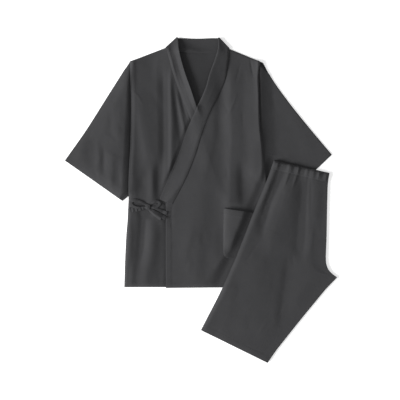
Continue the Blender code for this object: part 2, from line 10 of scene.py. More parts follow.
import bmesh
import bpy
import numpy as np
from bpy.props import FloatProperty, FloatVectorProperty, IntProperty, PointerProperty
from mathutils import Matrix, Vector


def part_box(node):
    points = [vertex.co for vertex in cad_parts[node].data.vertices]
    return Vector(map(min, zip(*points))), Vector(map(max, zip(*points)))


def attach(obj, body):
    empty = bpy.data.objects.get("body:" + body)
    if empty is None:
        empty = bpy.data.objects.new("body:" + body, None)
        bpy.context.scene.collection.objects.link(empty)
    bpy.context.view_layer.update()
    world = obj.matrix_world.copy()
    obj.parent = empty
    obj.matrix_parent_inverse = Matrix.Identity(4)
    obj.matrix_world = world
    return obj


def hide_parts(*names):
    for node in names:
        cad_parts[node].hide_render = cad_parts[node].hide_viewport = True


bl_info = {
    "name": "Jinbei Set",
    "version": (1, 0, 0),
    "blender": (4, 5, 0),
    "location": "3D View > Sidebar > Jinbei",
    "description": "Makes a jinbei jacket and its short trousers, laid flat",
    "category": "Object",
}

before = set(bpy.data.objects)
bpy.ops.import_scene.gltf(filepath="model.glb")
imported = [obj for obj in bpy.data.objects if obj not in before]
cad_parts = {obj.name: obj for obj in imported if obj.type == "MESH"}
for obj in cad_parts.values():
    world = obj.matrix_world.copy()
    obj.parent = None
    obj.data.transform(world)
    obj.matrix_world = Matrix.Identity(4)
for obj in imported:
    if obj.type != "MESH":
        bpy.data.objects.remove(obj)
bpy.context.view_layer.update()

MM = 0.001
GAP = 0.25                  # clear air between two layers
SEAM = 6.0                  # width that lies hidden under a neighbour at a seam
PRESS_BESIDE = 26.0         # strip where cloth sinks as it goes under the trousers' edge
PRESS_ABOVE = 20.0          # and under their waistband

FRONT_OVERLAP = 96.0        # free edge of a front, past the centre line
HEM_HALF = 225.0
COLLAR_END_UP = 258.0
OVER_HEM_DROP = 2.5
UPPER_SHARE = 15 / 22       # part of a side edge that faces the collar, the rest faces the free edge
FACING = 16.0               # turned-in strip along a free edge
HEM = 18.0

# Rough lengths of the pieces' edges, by which only the grid lines across them are spaced
BACK_LENGTH, BACK_WIDTH = 741.0, 430.0
SLEEVE_LENGTH, SLEEVE_WIDTH = 367.0, 330.0
FRONT_WIDTH, COLLAR_SEAM, FREE_EDGE = 300.0, 500.0, 240.0
NECK_LENGTH = 130.0
LEG_LENGTH, LEG_WIDTH = 586.0, 266.0
CASING_DEPTH = 34.0

COLLAR_LENGTH, COLLAR_WIDTH = 540.0, 42.0       # about one leg of the collar, and its band as it lies
COLLAR_CUT_WIDTH = 46.0     # width over which the collar's weave is laid out

POCKET_LEFT, POCKET_RIGHT = 82.0, 202.0
POCKET_TOP, POCKET_DEPTH = 244.0, 152.0
POCKET_SLOPE = -0.15
POCKET_CORNER = 14.0
POCKET_HEM = 21.0

TROUSERS_AT = (237.8, 391.8)
TROUSERS_TURN = 23.45       # degrees, clockwise from the jacket's warp
TO_CROTCH, TO_TIP = 8 / 23, 12 / 23     # where the crotch's curve starts and ends, down a leg
WAISTBAND_LAP = 4.0         # how far the casing reaches down over the legs
WAISTBAND_SECTIONS = 170
ELASTIC_ROWS = (11.5, 20.0)     # grooves along the casing, from its top
TUBE_TURN = 6               # steps of the half turn at a tube's folded edge
TAPE_SIDES = 20
KNOT_RINGS, KNOT_SIDES = 26, 36

STITCH_IN = 2.2             # from a turned edge back to its row of stitches
STITCH_SEED = 11
STAGE_MIDDLE = (9.3, 269.7)
KEY_FROM, OVERHEAD_FROM = (-10.2, -3.2, 5.2), (1.5, 0.4, 5.0)       # metres from the stage's middle
OVERHEAD_SHARE = 0.014      # power of the overhead light, as a share of the key light's

Point = namedtuple("Point", "across up")
Cut = namedtuple("Cut", "inward down")
Crease = namedtuple("Crease", "path width height lean", defaults=(0.0,))
Tape = namedtuple("Tape", "across up lift width roll")

RIGHT_SIDE = [
    Point(-207, 699), Point(-204, 590), Point(-204, 515), Point(-206, 440), Point(-211, 335),
    Point(-212, 239), Point(-218, 170), Point(-222, 93), Point(-HEM_HALF, 0),
]
LEFT_SIDE = [
    Point(194, 699), Point(191, 670), Point(192, 589), Point(196, 487), Point(205, 412),
    Point(211, 352), Point(214, 239), Point(218, 170), Point(222, 93), Point(HEM_HALF, 0),
]
BACK_TOP = [
    Point(-207, 699), Point(-98, 741), Point(-60, 734), Point(0, 731), Point(60, 733),
    Point(100, 738), Point(204, 695),
]
OVER_INNER = [
    Point(68, 773), Point(66, 741), Point(55, 701), Point(40, 661), Point(29, 621), Point(0, 555),
    Point(-31, 484), Point(-50, 426), Point(-80, 354), Point(-115, 272),
]
OVER_OUTER = [
    Point(101, 739), Point(100, 716), Point(94, 676), Point(86, 640), Point(75, 612), Point(61, 582),
    Point(47, 555), Point(33, 524), Point(19, 487), Point(7, 450), Point(-4, 415), Point(-17, 379),
    Point(-43, 320), Point(-77, 257),
]
UNDER_INNER = [
    Point(-62, 774), Point(-53, 719), Point(-38, 665), Point(-19, 611), Point(0, 555),
    Point(31, 484), Point(50, 426), Point(80, 354), Point(115, 272),
]
UNDER_OUTER = [
    Point(-98, 741), Point(-90, 719), Point(-75, 665), Point(-62, 626), Point(-40, 570),
    Point(-18, 515), Point(15, 400), Point(43, 322), Point(77, 257),
]
NECK_TOP = [Point(-62, 774), Point(-30, 770), Point(0, 769), Point(35, 770), Point(68, 773)]
NECK_SEAM = [Point(-98, 741), Point(-60, 728), Point(0, 725), Point(60, 727), Point(101, 739)]

RIGHT_SLEEVE_TOP = [
    Point(-208, 699), Point(-267, 606), Point(-306, 544), Point(-335, 498), Point(-409, 392),
]
RIGHT_CUFF_LOW = Point(-231, 267)
LEFT_SLEEVE_TOP = [Point(205, 695), Point(230, 650), Point(283, 575), Point(343, 500), Point(418, 411)]
LEFT_CUFF_LOW = Point(260, 260)
RIGHT_UNDERARM, LEFT_UNDERARM = Point(-211, 289), Point(212, 323)

OUTER_EDGE = [Cut(0, 0), Cut(2, 23), Cut(7, 186), Cut(12, 329), Cut(11, 425), Cut(2, 571)]
RISE_EDGE = [Cut(173, -33), Cut(179, -9), Cut(200, 46), Cut(247, 161), Cut(266, 210)]
CROTCH_EDGE = [Cut(266, 210), Cut(276, 229), Cut(290, 243), Cut(306, 250), Cut(323, 254)]
INSEAM_EDGE = [Cut(323, 254), Cut(305, 302), Cut(272, 417), Cut(241, 532), Cut(231, 582)]
WAIST_TOP = [Cut(0, 0), Cut(173, -33)]
WAIST_SEAM = [Cut(2, 23), Cut(179, -9)]

# Creases: a path, the width and height of the ridge (below zero, a trough), and how far
# its left side is the gentler one
BACK_CREASES = [Crease([(-52, 830), (-36, 745), (-16, 680), (0, 610), (8, 500)], 90, 8.0, -0.35)]
RIGHT_FRONT_CREASES = [
    Crease([(-184, 650), (-180, 580), (-167, 493), (-155, 425), (-152, 346)], 60, 3.6, -0.3),
    Crease([(-145, 254), (-147, 232), (-153, 206)], 56, -4.4, 0.4),
    Crease([(-128, 700), (-126, 560), (-124, 450), (-123, 340)], 66, 3.2, 0.5),
    Crease([(-81, 700), (-80, 580), (-79, 487), (-80, 394), (-84, 300), (-90, 250)], 26, 4.8, -0.28),
    Crease([(-106, 700), (-104, 549), (-104, 425), (-110, 296)], 18, -1.2),
    Crease([(-70, 800), (-64, 720), (-64, 650), (-72, 600)], 110, 6.0, 0.3),
    Crease([(-78, 690), (-74, 632), (-68, 578), (-59, 517), (-51, 455), (-47, 405)], 24, -2.8, -0.1),
    Crease([(-69, 632), (-54, 558), (-40, 492), (-28, 436)], 14, 2.4),
    Crease([(-61, 636), (-44, 566), (-25, 500)], 11, -1.6),
    Crease([(-140, 396), (-139, 313), (-140, 240)], 30, 4.4, 0.1),
    Crease([(-118, 430), (-117, 307), (-120, 244)], 34, -4.0, -0.2),
    Crease([(-169, 350), (-169, 300)], 24, -1.0),
    Crease([(-192, 360), (-192, 288), (-195, 245)], 24, 1.4),
    Crease([(-162, 290), (-163, 240), (-166, 177), (-171, 115), (-179, 70), (-186, 34)], 38, -5.4, 0.1),
    Crease([(-138, 238), (-138, 161), (-143, 102), (-155, 46), (-166, -36)], 46, 4.2, 0.0),
    Crease([(-106, 225), (-106, 115), (-112, -34)], 44, -1.8),
    Crease([(-205, 230), (-206, 146), (-211, 49)], 20, 1.8),
    Crease([(-199, 90), (-201, 40), (-203, -30)], 26, 2.0),
]
LEFT_FRONT_CREASES = [
    Crease([(54, 545), (46, 456), (31, 388), (12, 300)], 50, 1.7, 0.25),
    Crease([(107, 700), (108, 549), (110, 456), (107, 369), (105, 225), (104, 80)], 100, 6.6, -0.5),
    Crease([(78, 700), (74, 600), (72, 520), (72, 430)], 44, -2.5, -0.1),
    Crease([(208, 480), (204, 400), (198, 330)], 60, -4.2, -0.2),
    Crease([(88, 212), (86, 140), (76, 76)], 54, -3.6, 0.2),
    Crease([(100, 110), (80, 53), (60, 6), (48, -36)], 56, 3.2, -0.1),
    Crease([(138, 410), (142, 316), (146, 226)], 50, -5.4, -0.25),
    Crease([(170, 700), (171, 610), (172, 500), (175, 400), (178, 290)], 60, 3.6, -0.1),
    Crease([(163, 716), (169, 679), (177, 640)], 10, -1.5),
    Crease([(14, 390), (6, 240), (-2, 120), (-12, -40)], 130, 5.2, 0.2),
    Crease([(-9, 216), (-22, 152), (-34, 108), (-46, 44)], 40, 1.6, 0.2),
    Crease([(40, 230), (30, 115), (20, -20)], 60, -1.6),
    Crease([(-79, 256), (-81, 220), (-78, 170)], 16, -1.0),
    Crease([(80, 252), (140, 244), (204, 234)], 16, -2.2),
    Crease([(112, 190), (86, 124), (60, 66), (30, -30)], 100, 4.6, 0.3),
]
POCKET_CREASES = [
    Crease([(142, 262), (140, 160), (130, 80)], 104, 6.4, 0.4),
    Crease([(93, 232), (92, 170), (93, 104)], 12, 0.5),
]
RIGHT_SLEEVE_CREASES = [
    Crease([(-303, 456), (-303, 400), (-306, 340)], 32, 2.2, 0.1),
    Crease([(-290, 448), (-288, 394), (-289, 336)], 20, -1.3),
    Crease([(-266, 430), (-263, 363), (-268, 290)], 38, 2.6, 0.1),
    Crease([(-248, 392), (-248, 344), (-254, 292)], 34, -1.2),
    Crease([(-242, 590), (-240, 502), (-246, 405)], 44, 1.6, 0.1),
    Crease([(-268, 554), (-267, 512), (-264, 460)], 24, -0.8),
    Crease([(-317, 372), (-313, 344), (-303, 318)], 18, -0.8),
    Crease([(-236, 640), (-251, 604), (-266, 566)], 24, -0.8),
    Crease([(-350, 476), (-362, 424), (-368, 384)], 50, 4.0),
    Crease([(-262, 540), (-262, 400), (-268, 330)], 110, 3.0),
]
LEFT_SLEEVE_CREASES = [
    Crease([(279, 580), (307, 518), (332, 456)], 52, 1.4),
    Crease([(319, 512), (332, 456), (360, 400)], 60, 1.2),
    Crease([(300, 470), (312, 420), (318, 380)], 70, -1.2),
]
# Millimetres: the tube's edge, the slopes up from its fold and its cuff, the strip that falls away
# from the body's edge (upper end, lower end), the height there (upper end, lower end), how full and
# how creased it lies, and how far its upper layer goes under the front
SleeveForm = namedtuple("SleeveForm", "edge_radius edge_puff fold_rise cuff_rise strip_top strip_low "
                                      "at_seam_top at_seam_low fullness looseness tuck")
RIGHT_SLEEVE_FORM = SleeveForm(1.8, 2.4, 66.0, 34.0, 18.0, 44.0, 7.0, 5.2, 11.5, 1.0, 10.0)
LEFT_SLEEVE_FORM = SleeveForm(1.8, 0.4, 1.0, 1.0, 62.0, 94.0, 12.0, 10.2, -0.4, 0.5, 20.0)
# How high a collar leg's inner edge stands at each distance from its top, how hollow the slope down
# to its seam is, how far the inner edge rolls over, how far its outer side rises lower down, and the
# faint ridges along it, each at its share of the width
CollarLeg = namedtuple("CollarLeg", "lift hollow rolled low_rise ridges")
UNDER_LEG = CollarLeg([(0, 6), (30, 12), (80, 18.5), (120, 19.5), (160, 19), (205, 13.5), (240, 4.2),
                       (272, 0.5), (540, 0)], 1.5, 1.0, 0.0, [(0.36, -0.8), (0.58, 0.7), (0.80, -0.3)])
OVER_LEG = CollarLeg([(0, 7), (40, 13), (110, 16), (160, 13.5), (205, 8), (250, 3), (310, 0.6),
                      (540, 0.2)], 0.9, 2.4, 1.0, [(0.5, 0.3)])
# Gathers of the casing: the place of each along the band and its strength
BAND_GATHERS = [(0.075, 1.2), (0.20, 0.4), (0.30, 1.15), (0.455, 1.1), (0.54, 0.25), (0.61, 0.9),
                (0.715, 0.8), (0.83, 0.9), (0.95, 1.0)]
WAIST_RIPPLES = [
    Crease([(291, 390), (284, 355), (276, 332), (264, 300)], 11, 2.2),
    Crease([(314, 386), (309, 352), (302, 328), (290, 296)], 11, 2.0),
    Crease([(341, 384), (338, 348), (336, 320)], 12, 1.4),
    Crease([(356, 380), (356, 344), (356, 318)], 10, 1.0),
    Crease([(394, 372), (392, 340), (390, 300)], 12, 1.4),
]
TROUSER_CREASES = [
    Crease([(300, 460), (268, 376), (246, 312), (224, 264), (209, 214), (196, 136)], 40, -5.6, 0.2),
    Crease([(246, 430), (228, 347), (214, 301), (200, 254), (188, 205)], 30, 3.2, 0.0),
    Crease([(302, 360), (275, 282), (258, 232), (243, 183), (218, 76)], 80, 4.8, -0.2),
    Crease([(335, 430), (333, 285), (328, 208), (316, 60)], 54, -5.6, 0.2),
    Crease([(349, 400), (347, 270), (342, 166)], 22, 1.0, 0.1),
    Crease([(353, 356), (352, 282), (349, 210)], 12, -1.0),
    Crease([(380, 420), (382, 282), (374, 160)], 40, 5.0, 0.2),
    Crease([(284, 120), (279, 30), (265, -60), (258, -150)], 64, -3.4, -0.4),
    Crease([(196, 130), (160, -30), (132, -170)], 150, 4.4, -0.1),
    Crease([(120, 40), (92, -60), (62, -170)], 110, 3.0, 0.3),
    Crease([(166, -70), (160, -140)], 40, -0.7),
]

# Ties: the lift over what lies below (of the tape's underside, or of its middle where the lift is
# more than half of the tape's own height), its width, and its roll in degrees
SIDE_TIE = [
    Tape(-211, 238, 0.0, 15, 0), Tape(-200, 239, 0.6, 15, 0), Tape(-192, 240, 0.4, 14, 0),
    Tape(-184, 241, 0.8, 13, 0), Tape(-177, 242, 0.6, 12, 0), Tape(-169, 244, 1.2, 10, 0),
    Tape(-158, 246, 1.6, 8, 0),
]
FRONT_TIE = [
    Tape(-92, 228, 0.0, 12, 0), Tape(-102, 232, 0.2, 11, 10), Tape(-118, 240, 0.4, 9, 14),
    Tape(-130, 245, 0.8, 8, 12), Tape(-145, 248, 1.4, 7, 0),
]
SIDE_LOOP = [
    Tape(-156, 254, 1.8, 7, 8), Tape(-168, 261, 1.0, 8, 5), Tape(-180, 266, 0.5, 9, 3),
    Tape(-192, 269, 0.4, 9, 2), Tape(-201, 267, 0.5, 9, 0), Tape(-204, 260, 0.6, 9, 4),
    Tape(-200, 252, 0.8, 9, 8), Tape(-189, 247, 1.2, 8, 12), Tape(-175, 246, 1.6, 7, 14),
    Tape(-157, 247, 2.4, 6, 14),
]
FRONT_LOOP = [
    Tape(-147, 254, 1.8, 6, 6), Tape(-138, 261, 0.8, 7, 3), Tape(-128, 265, 0.4, 8, 0),
    Tape(-119, 263, 0.3, 8, 0), Tape(-115, 258, 0.3, 8, 3), Tape(-119, 252, 0.5, 8, 10),
    Tape(-127, 248, 0.9, 8, 16), Tape(-136, 247, 1.6, 7, 18), Tape(-146, 246, 2.4, 6, 18),
]
LONG_TAIL = [
    Tape(-146, 242, 2.6, 8, -12), Tape(-134, 234, 2.6, 12, -22), Tape(-121, 227, 2.4, 14, -26),
    Tape(-108, 220, 2.2, 14, -26), Tape(-96, 213, 2.0, 13, -24),
]
SHORT_TAIL = [
    Tape(-150, 242, 3.0, 5, 18), Tape(-142, 234, 3.6, 8, 24), Tape(-131, 225, 4.0, 9, 24),
    Tape(-120, 216, 3.8, 9, 22), Tape(-112, 209, 3.4, 9, 20),
]
KNOT_AT = Point(-151.5, 248.5)
KNOT_SIZE = (15.0, 17.0, 5.6)

BACK_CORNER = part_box("back_panel")[0]
SHIFT = np.array([BACK_CORNER[0] + HEM_HALF * MM, BACK_CORNER[1], 0.0])    # the layout's origin, in metres


# ---------------------------------------------------------------- sizes and colours to change

class JinbeiSettings(bpy.types.PropertyGroup):
    cotton_colour: FloatVectorProperty(
        name="Cotton", description="Colour of the cotton", subtype="COLOR", size=3, min=0.0, max=1.0,
        default=(0.046, 0.046, 0.048))
    thread_colour: FloatVectorProperty(
        name="Thread", description="Colour of the sewing thread", subtype="COLOR", size=3, min=0.0,
        max=1.0, default=(0.040, 0.040, 0.043))
    cloth_thickness: FloatProperty(
        name="Cloth thickness", description="Thickness of one layer of cotton", unit="LENGTH",
        default=0.0009, min=0.0003, max=0.003)
    collar_thickness: FloatProperty(
        name="Collar thickness", description="Thickness of the folded collar band", unit="LENGTH",
        default=0.0017, min=0.0005, max=0.004)
    tape_thickness: FloatProperty(
        name="Tie thickness", description="Thickness of a sewn tie", unit="LENGTH",
        default=0.0014, min=0.0005, max=0.004)
    weave_pitch: FloatProperty(
        name="Weave pitch", description="Distance from one thread of the weave to the next",
        unit="LENGTH", default=0.0007, min=0.0002, max=0.003)
    crease_share: FloatProperty(
        name="Creases", description="Height of the creases, as a share of the tables' heights",
        subtype="FACTOR", default=1.0, min=0.0, max=2.0)
    loft: FloatProperty(
        name="Loft", description="How far loose cloth stands off the layer below", unit="LENGTH",
        default=0.0040, min=0.0, max=0.01)
    seed: IntProperty(name="Seed", description="Where the small creases fall", default=7, min=0)


class JinbeiStitches(bpy.types.PropertyGroup):
    pitch: FloatProperty(
        name="Pitch", description="Distance from one stitch to the next", unit="LENGTH",
        default=0.0032, min=0.001, max=0.02)
    length: FloatProperty(
        name="Length", description="Length of one stitch", unit="LENGTH", default=0.0023,
        min=0.0005, max=0.02)
    thickness: FloatProperty(
        name="Thickness", description="Thickness of the thread", unit="LENGTH", default=0.00042,
        min=0.0001, max=0.002)
    gather_height: FloatProperty(
        name="Gather height", description="Height of one gather of the waistband", unit="LENGTH",
        default=0.0026, min=0.0, max=0.01)


class JinbeiStage(bpy.types.PropertyGroup):
    floor_colour: FloatVectorProperty(
        name="Floor", description="Colour of the floor", subtype="COLOR", size=3, min=0.0, max=1.0,
        default=(0.94, 0.94, 0.94))
    key_power: FloatProperty(
        name="Key light", description="Power of the soft light from the side", unit="POWER",
        default=2600.0, min=0.0)
    fill_strength: FloatProperty(
        name="Fill light", description="Strength of the light from all round", default=0.28, min=0.0)
    camera_height: FloatProperty(
        name="Camera height", description="Height of the camera over the floor", unit="LENGTH",
        default=3.444, min=0.5)


# ---------------------------------------------------------------- plan shapes

def smooth(value):
    """Ease from 0 to 1 as the value goes from 0 to 1."""
    value = np.clip(value, 0.0, 1.0)
    return value * value * (3.0 - 2.0 * value)


def eased(value):
    """Rises from 0 to 1, steepest at 0."""
    return 1.0 - (1.0 - np.clip(value, 0.0, 1.0)) ** 2


def rounded_up(distance, radius):
    """Height of a rolled edge, from 0 at the edge to 1 at its radius."""
    inside = np.clip(distance / radius, 0.0, 1.0)
    return np.sqrt(1.0 - (1.0 - inside) ** 2)


def shares(length, spacing, near_start=(), near_end=()):
    """Where grid lines cross an edge, as shares of its length, close together near its ends."""
    start = [d for d in near_start if d < length * 0.4] or [0.0]
    end = [d for d in near_end if d < length * 0.4] or [0.0]
    count = max(2, int(round((length - start[-1] - end[-1]) / spacing)) + 1)
    middle = np.linspace(start[-1], length - end[-1], count)
    marks = np.concatenate([start[:-1], middle, length - np.array(end[:-1])[::-1]])
    return marks / length


def line_reach(line):
    """Distance along a line from its start to each of its points."""
    return np.concatenate([[0.0], np.cumsum(np.linalg.norm(np.diff(line, axis=0), axis=1))])


def curved(points, steps=10):
    """Smooth line through a few points."""
    points = np.array(points, float)
    if len(points) < 3:
        return points
    at = line_reach(points)
    slope = np.gradient(points, at, axis=0)
    made = []
    for k in range(len(points) - 1):
        step = at[k + 1] - at[k]
        t = np.linspace(0.0, 1.0, steps, endpoint=False)[:, None]
        made.append(points[k] * (2 * t**3 - 3 * t**2 + 1) + points[k + 1] * (3 * t**2 - 2 * t**3)
                    + slope[k] * step * (t**3 - 2 * t**2 + t) + slope[k + 1] * step * (t**3 - t**2))
    return np.concatenate(made + [points[-1:]])


def rail(line, marks):
    """Points of a line at the given shares of its length."""
    line = np.array(line, float)
    reached = line_reach(line)
    wanted = np.asarray(marks) * reached[-1]
    return np.stack([np.interp(wanted, reached, line[:, k]) for k in range(line.shape[1])], axis=1)


def panel(first, last, start, end, v, u):
    """Grid between two rails and the two edges that join their ends, rows along the rails."""
    v, u = v[:, None, None], u[None, :, None]
    between_rails = first[:, None] * (1 - u) + last[:, None] * u
    between_ends = start[None] * (1 - v) + end[None] * v
    corners = (start[0] * (1 - u) + start[-1] * u) * (1 - v) + (end[0] * (1 - u) + end[-1] * u) * v
    return between_rails + between_ends - corners


def straight(first, last, u):
    """Grid of straight sections from one rail to the other."""
    u = u[None, :, None]
    return first[:, None] * (1 - u) + last[:, None] * u


def border_ring(index):
    """Numbers once round the border of a grid, ending where they start."""
    return np.concatenate([index[0], index[1:, -1], index[-1, -2::-1], index[-2::-1, 0]])


def border_distances(plan):
    """Distance of each grid point from the first and last column, and from the first and last row."""
    steps = np.linalg.norm(np.diff(plan[..., :2], axis=1), axis=2)
    across = np.concatenate([np.zeros((len(plan), 1)), np.cumsum(steps, axis=1)], axis=1)
    steps = np.linalg.norm(np.diff(plan[..., :2], axis=0), axis=2)
    down = np.concatenate([np.zeros((1, plan.shape[1])), np.cumsum(steps, axis=0)])
    return across, across[:, -1:] - across, down, down[-1:] - down


def plan_area(plan):
    """Area of a plan grid, in square metres."""
    a, b = plan[1:, 1:] - plan[:-1, :-1], plan[1:, :-1] - plan[:-1, 1:]
    return float(np.abs(a[..., 0] * b[..., 1] - a[..., 1] * b[..., 0]).sum() / 2) * MM * MM


def trouser_point(cut):
    """Place on the layout of a point given from the top of the trousers' outer edge."""
    turn = math.radians(TROUSERS_TURN)
    cos, sin = math.cos(turn), math.sin(turn)
    return Point(TROUSERS_AT[0] + cut.inward * cos - cut.down * sin,
                 TROUSERS_AT[1] - cut.inward * sin - cut.down * cos)


def on_layout(cuts):
    return [trouser_point(cut) for cut in cuts]


# ---------------------------------------------------------------- relief

def crease_height(plan, crease):
    """Soft ridge or trough along a path, fuller in the middle and tapering to its ends."""
    path = curved(crease.path, 6)
    lengths = np.linalg.norm(np.diff(path, axis=0), axis=1)
    total = lengths.sum()
    nearest = np.full(plan.shape[:2], 1e9)
    side = np.zeros(plan.shape[:2])
    reached = np.zeros(plan.shape[:2])
    start = 0.0
    for a, b, length in zip(path[:-1], path[1:], lengths):
        run = (b - a) / length
        offset = plan - a
        t = np.clip(offset @ run, 0.0, length)
        aside = offset - t[..., None] * run
        distance = np.linalg.norm(aside, axis=2)
        closer = distance < nearest
        nearest = np.where(closer, distance, nearest)
        side = np.where(closer, np.sign(aside[..., 0]), side)
        reached = np.where(closer, start + t, reached)
        start += length
    taper = min(0.40 * total, 80.0)
    ends = smooth(reached / taper) * smooth((total - reached) / taper)
    width = crease.width * 0.40 * (1.0 - crease.lean * side)
    spread = 0.85 + 0.15 * ends
    return crease.height * ends * np.exp(-(nearest / (width * spread)) ** 2)


def soft_noise(plan, scale, seed):
    """Smooth random field between about -1 and 1, with bumps of the given size."""
    scale = np.broadcast_to(np.asarray(scale, float), (2,))
    lattice = np.random.default_rng(seed).uniform(-1.0, 1.0, (160, 160))
    at = (plan + 500.0) / scale
    cell = np.floor(at).astype(int)
    part = smooth(at - cell)
    i, j = cell[..., 0] % 159, cell[..., 1] % 159
    low = lattice[i, j] * (1 - part[..., 0]) + lattice[i + 1, j] * part[..., 0]
    high = lattice[i, j + 1] * (1 - part[..., 0]) + lattice[i + 1, j + 1] * part[..., 0]
    return low * (1 - part[..., 1]) + high * part[..., 1]


def small_creases(plan, count, seed, lean_degrees=0.0, spread_degrees=22.0):
    """Faint creases between the main ones, mostly along the hang of the cloth."""
    draw = np.random.default_rng(seed)
    flat = plan.reshape(-1, 2)
    height = np.zeros(plan.shape[:2])
    for _ in range(count):
        middle = flat[draw.integers(len(flat))]
        angle = math.radians(90.0 + lean_degrees + draw.normal(0.0, spread_degrees))
        half = np.array([math.cos(angle), math.sin(angle)]) * draw.uniform(18.0, 62.0)
        bend = np.array([-half[1], half[0]]) * draw.normal(0.0, 0.10)
        path = [middle - half, middle + bend, middle + half]
        size = draw.uniform(0.20, 0.80) * draw.choice([-1.0, 1.0])
        height += crease_height(plan, Crease(path, draw.uniform(10.0, 24.0), size))
    return height


def left_of(plan, start, end):
    """Distance of each point to the left of the line from start to end."""
    run = np.subtract(end, start) / np.hypot(*np.subtract(end, start))
    return (plan - np.array(start)) @ np.array([-run[1], run[0]])


def pressed(plan):
    """1 where the cloth lies free, 0 where the trousers press on it."""
    waist, far = on_layout(WAIST_TOP)
    hem = trouser_point(OUTER_EDGE[-1])
    beside = PRESS_BESIDE + 22.0 * smooth((120.0 - plan[..., 1]) / 100.0)
    past_edge, past_waist = (smooth(1.0 + left_of(plan, *line) / strip)
                             for line, strip in (((waist, hem), beside), ((far, waist), PRESS_ABOVE)))
    return 1.0 - past_edge * past_waist


def never_under(height):
    """The height, eased off so that it stays above zero."""
    return (height + np.sqrt(height ** 2 + 0.5)) / 2


def relief(plan, creases, seed, small, lean_degrees=0.0):
    """Height of loose cloth over the layer below it, never under it."""
    settings = bpy.context.scene.jinbei_settings
    height = np.full(plan.shape[:2], settings.loft / MM)
    for crease in creases:
        height += settings.crease_share * crease_height(plan, crease)
    height += small_creases(plan, small, seed + settings.seed, lean_degrees)
    height += 0.40 * soft_noise(plan, (46.0, 84.0), seed + 1)
    height += 0.10 * soft_noise(plan, (14.0, 24.0), seed + 2)
    return never_under(height)


# ---------------------------------------------------------------- layers

class Ground:
    """Height of the topmost cloth laid so far, over small square cells of the layout plane."""
    low = np.array([-450.0, -290.0])
    cell = 1.5
    cells = (600, 730)

    def __init__(self):
        self.height = np.zeros(self.cells)

    def spread(self):
        """The heights carried two cells outwards and then softened, so that nothing pokes through."""
        wide = self.height.copy()
        for axis in (0, 1):
            source = wide.copy()
            for step in (-2, -1, 1, 2):
                wide = np.maximum(wide, np.roll(source, step, axis))
        for axis in (0, 1, 0, 1):
            wide = (np.roll(wide, 1, axis) + wide + np.roll(wide, -1, axis)) / 3.0
        return wide

    def under(self, plan):
        """Height of what lies below each point of a plan."""
        field = self.spread()
        at = (plan - self.low) / self.cell - 0.5
        cell = np.floor(at).astype(int)
        part = at - cell
        i = np.clip(cell[..., 0], 0, self.cells[0] - 2)
        j = np.clip(cell[..., 1], 0, self.cells[1] - 2)
        low = field[i, j] * (1 - part[..., 0]) + field[i + 1, j] * part[..., 0]
        high = field[i, j + 1] * (1 - part[..., 0]) + field[i + 1, j + 1] * part[..., 0]
        return low * (1 - part[..., 1]) + high * part[..., 1]

    def cover(self, surface, samples=4):
        """Let later layers lie on this surface."""
        steps = (np.arange(samples) + 0.5) / samples
        for v in steps:
            for u in steps:
                point = ((surface[:-1, :-1] * (1 - u) + surface[:-1, 1:] * u) * (1 - v)
                         + (surface[1:, :-1] * (1 - u) + surface[1:, 1:] * u) * v)
                cell = np.floor((point[..., :2] - self.low) / self.cell).astype(int)
                i = np.clip(cell[..., 0], 0, self.cells[0] - 1).ravel()
                j = np.clip(cell[..., 1], 0, self.cells[1] - 1).ravel()
                np.maximum.at(self.height, (i, j), point[..., 2].ravel())


ground = Ground()
surfaces = {}       # middle surface of each laid piece, in millimetres


def drape(plan, passes=70):
    """Height of the underside of a layer that lies on the layers below and slopes past their edges."""
    need = ground.under(plan) + GAP
    height = need
    for _ in range(passes):
        padded = np.pad(height, 1, mode="edge")
        around = padded[:-2, 1:-1] + padded[2:, 1:-1] + padded[1:-1, :-2] + padded[1:-1, 2:]
        height = np.maximum(need, around / 4.0)
    return height


def lay(name, middle, thickness):
    """Remember a sheet's middle surface and let later layers lie on it."""
    surfaces[name] = middle
    top = middle.copy()
    top[..., 2] += thickness / 2
    ground.cover(top)


def surface_normals(middle, closed=False):
    """Unit normal at each point of a grid."""
    if closed:
        along_row = np.roll(middle, -1, axis=1) - np.roll(middle, 1, axis=1)
    else:
        along_row = np.gradient(middle, axis=1)
    normal = np.cross(np.gradient(middle, axis=0), along_row)
    size = np.linalg.norm(normal, axis=2, keepdims=True)
    return normal / np.maximum(size, 1e-9)


def quads(first, second):
    """Faces between two rows of vertex numbers."""
    return np.stack([first[:-1], second[:-1], second[1:], first[1:]], axis=-1)


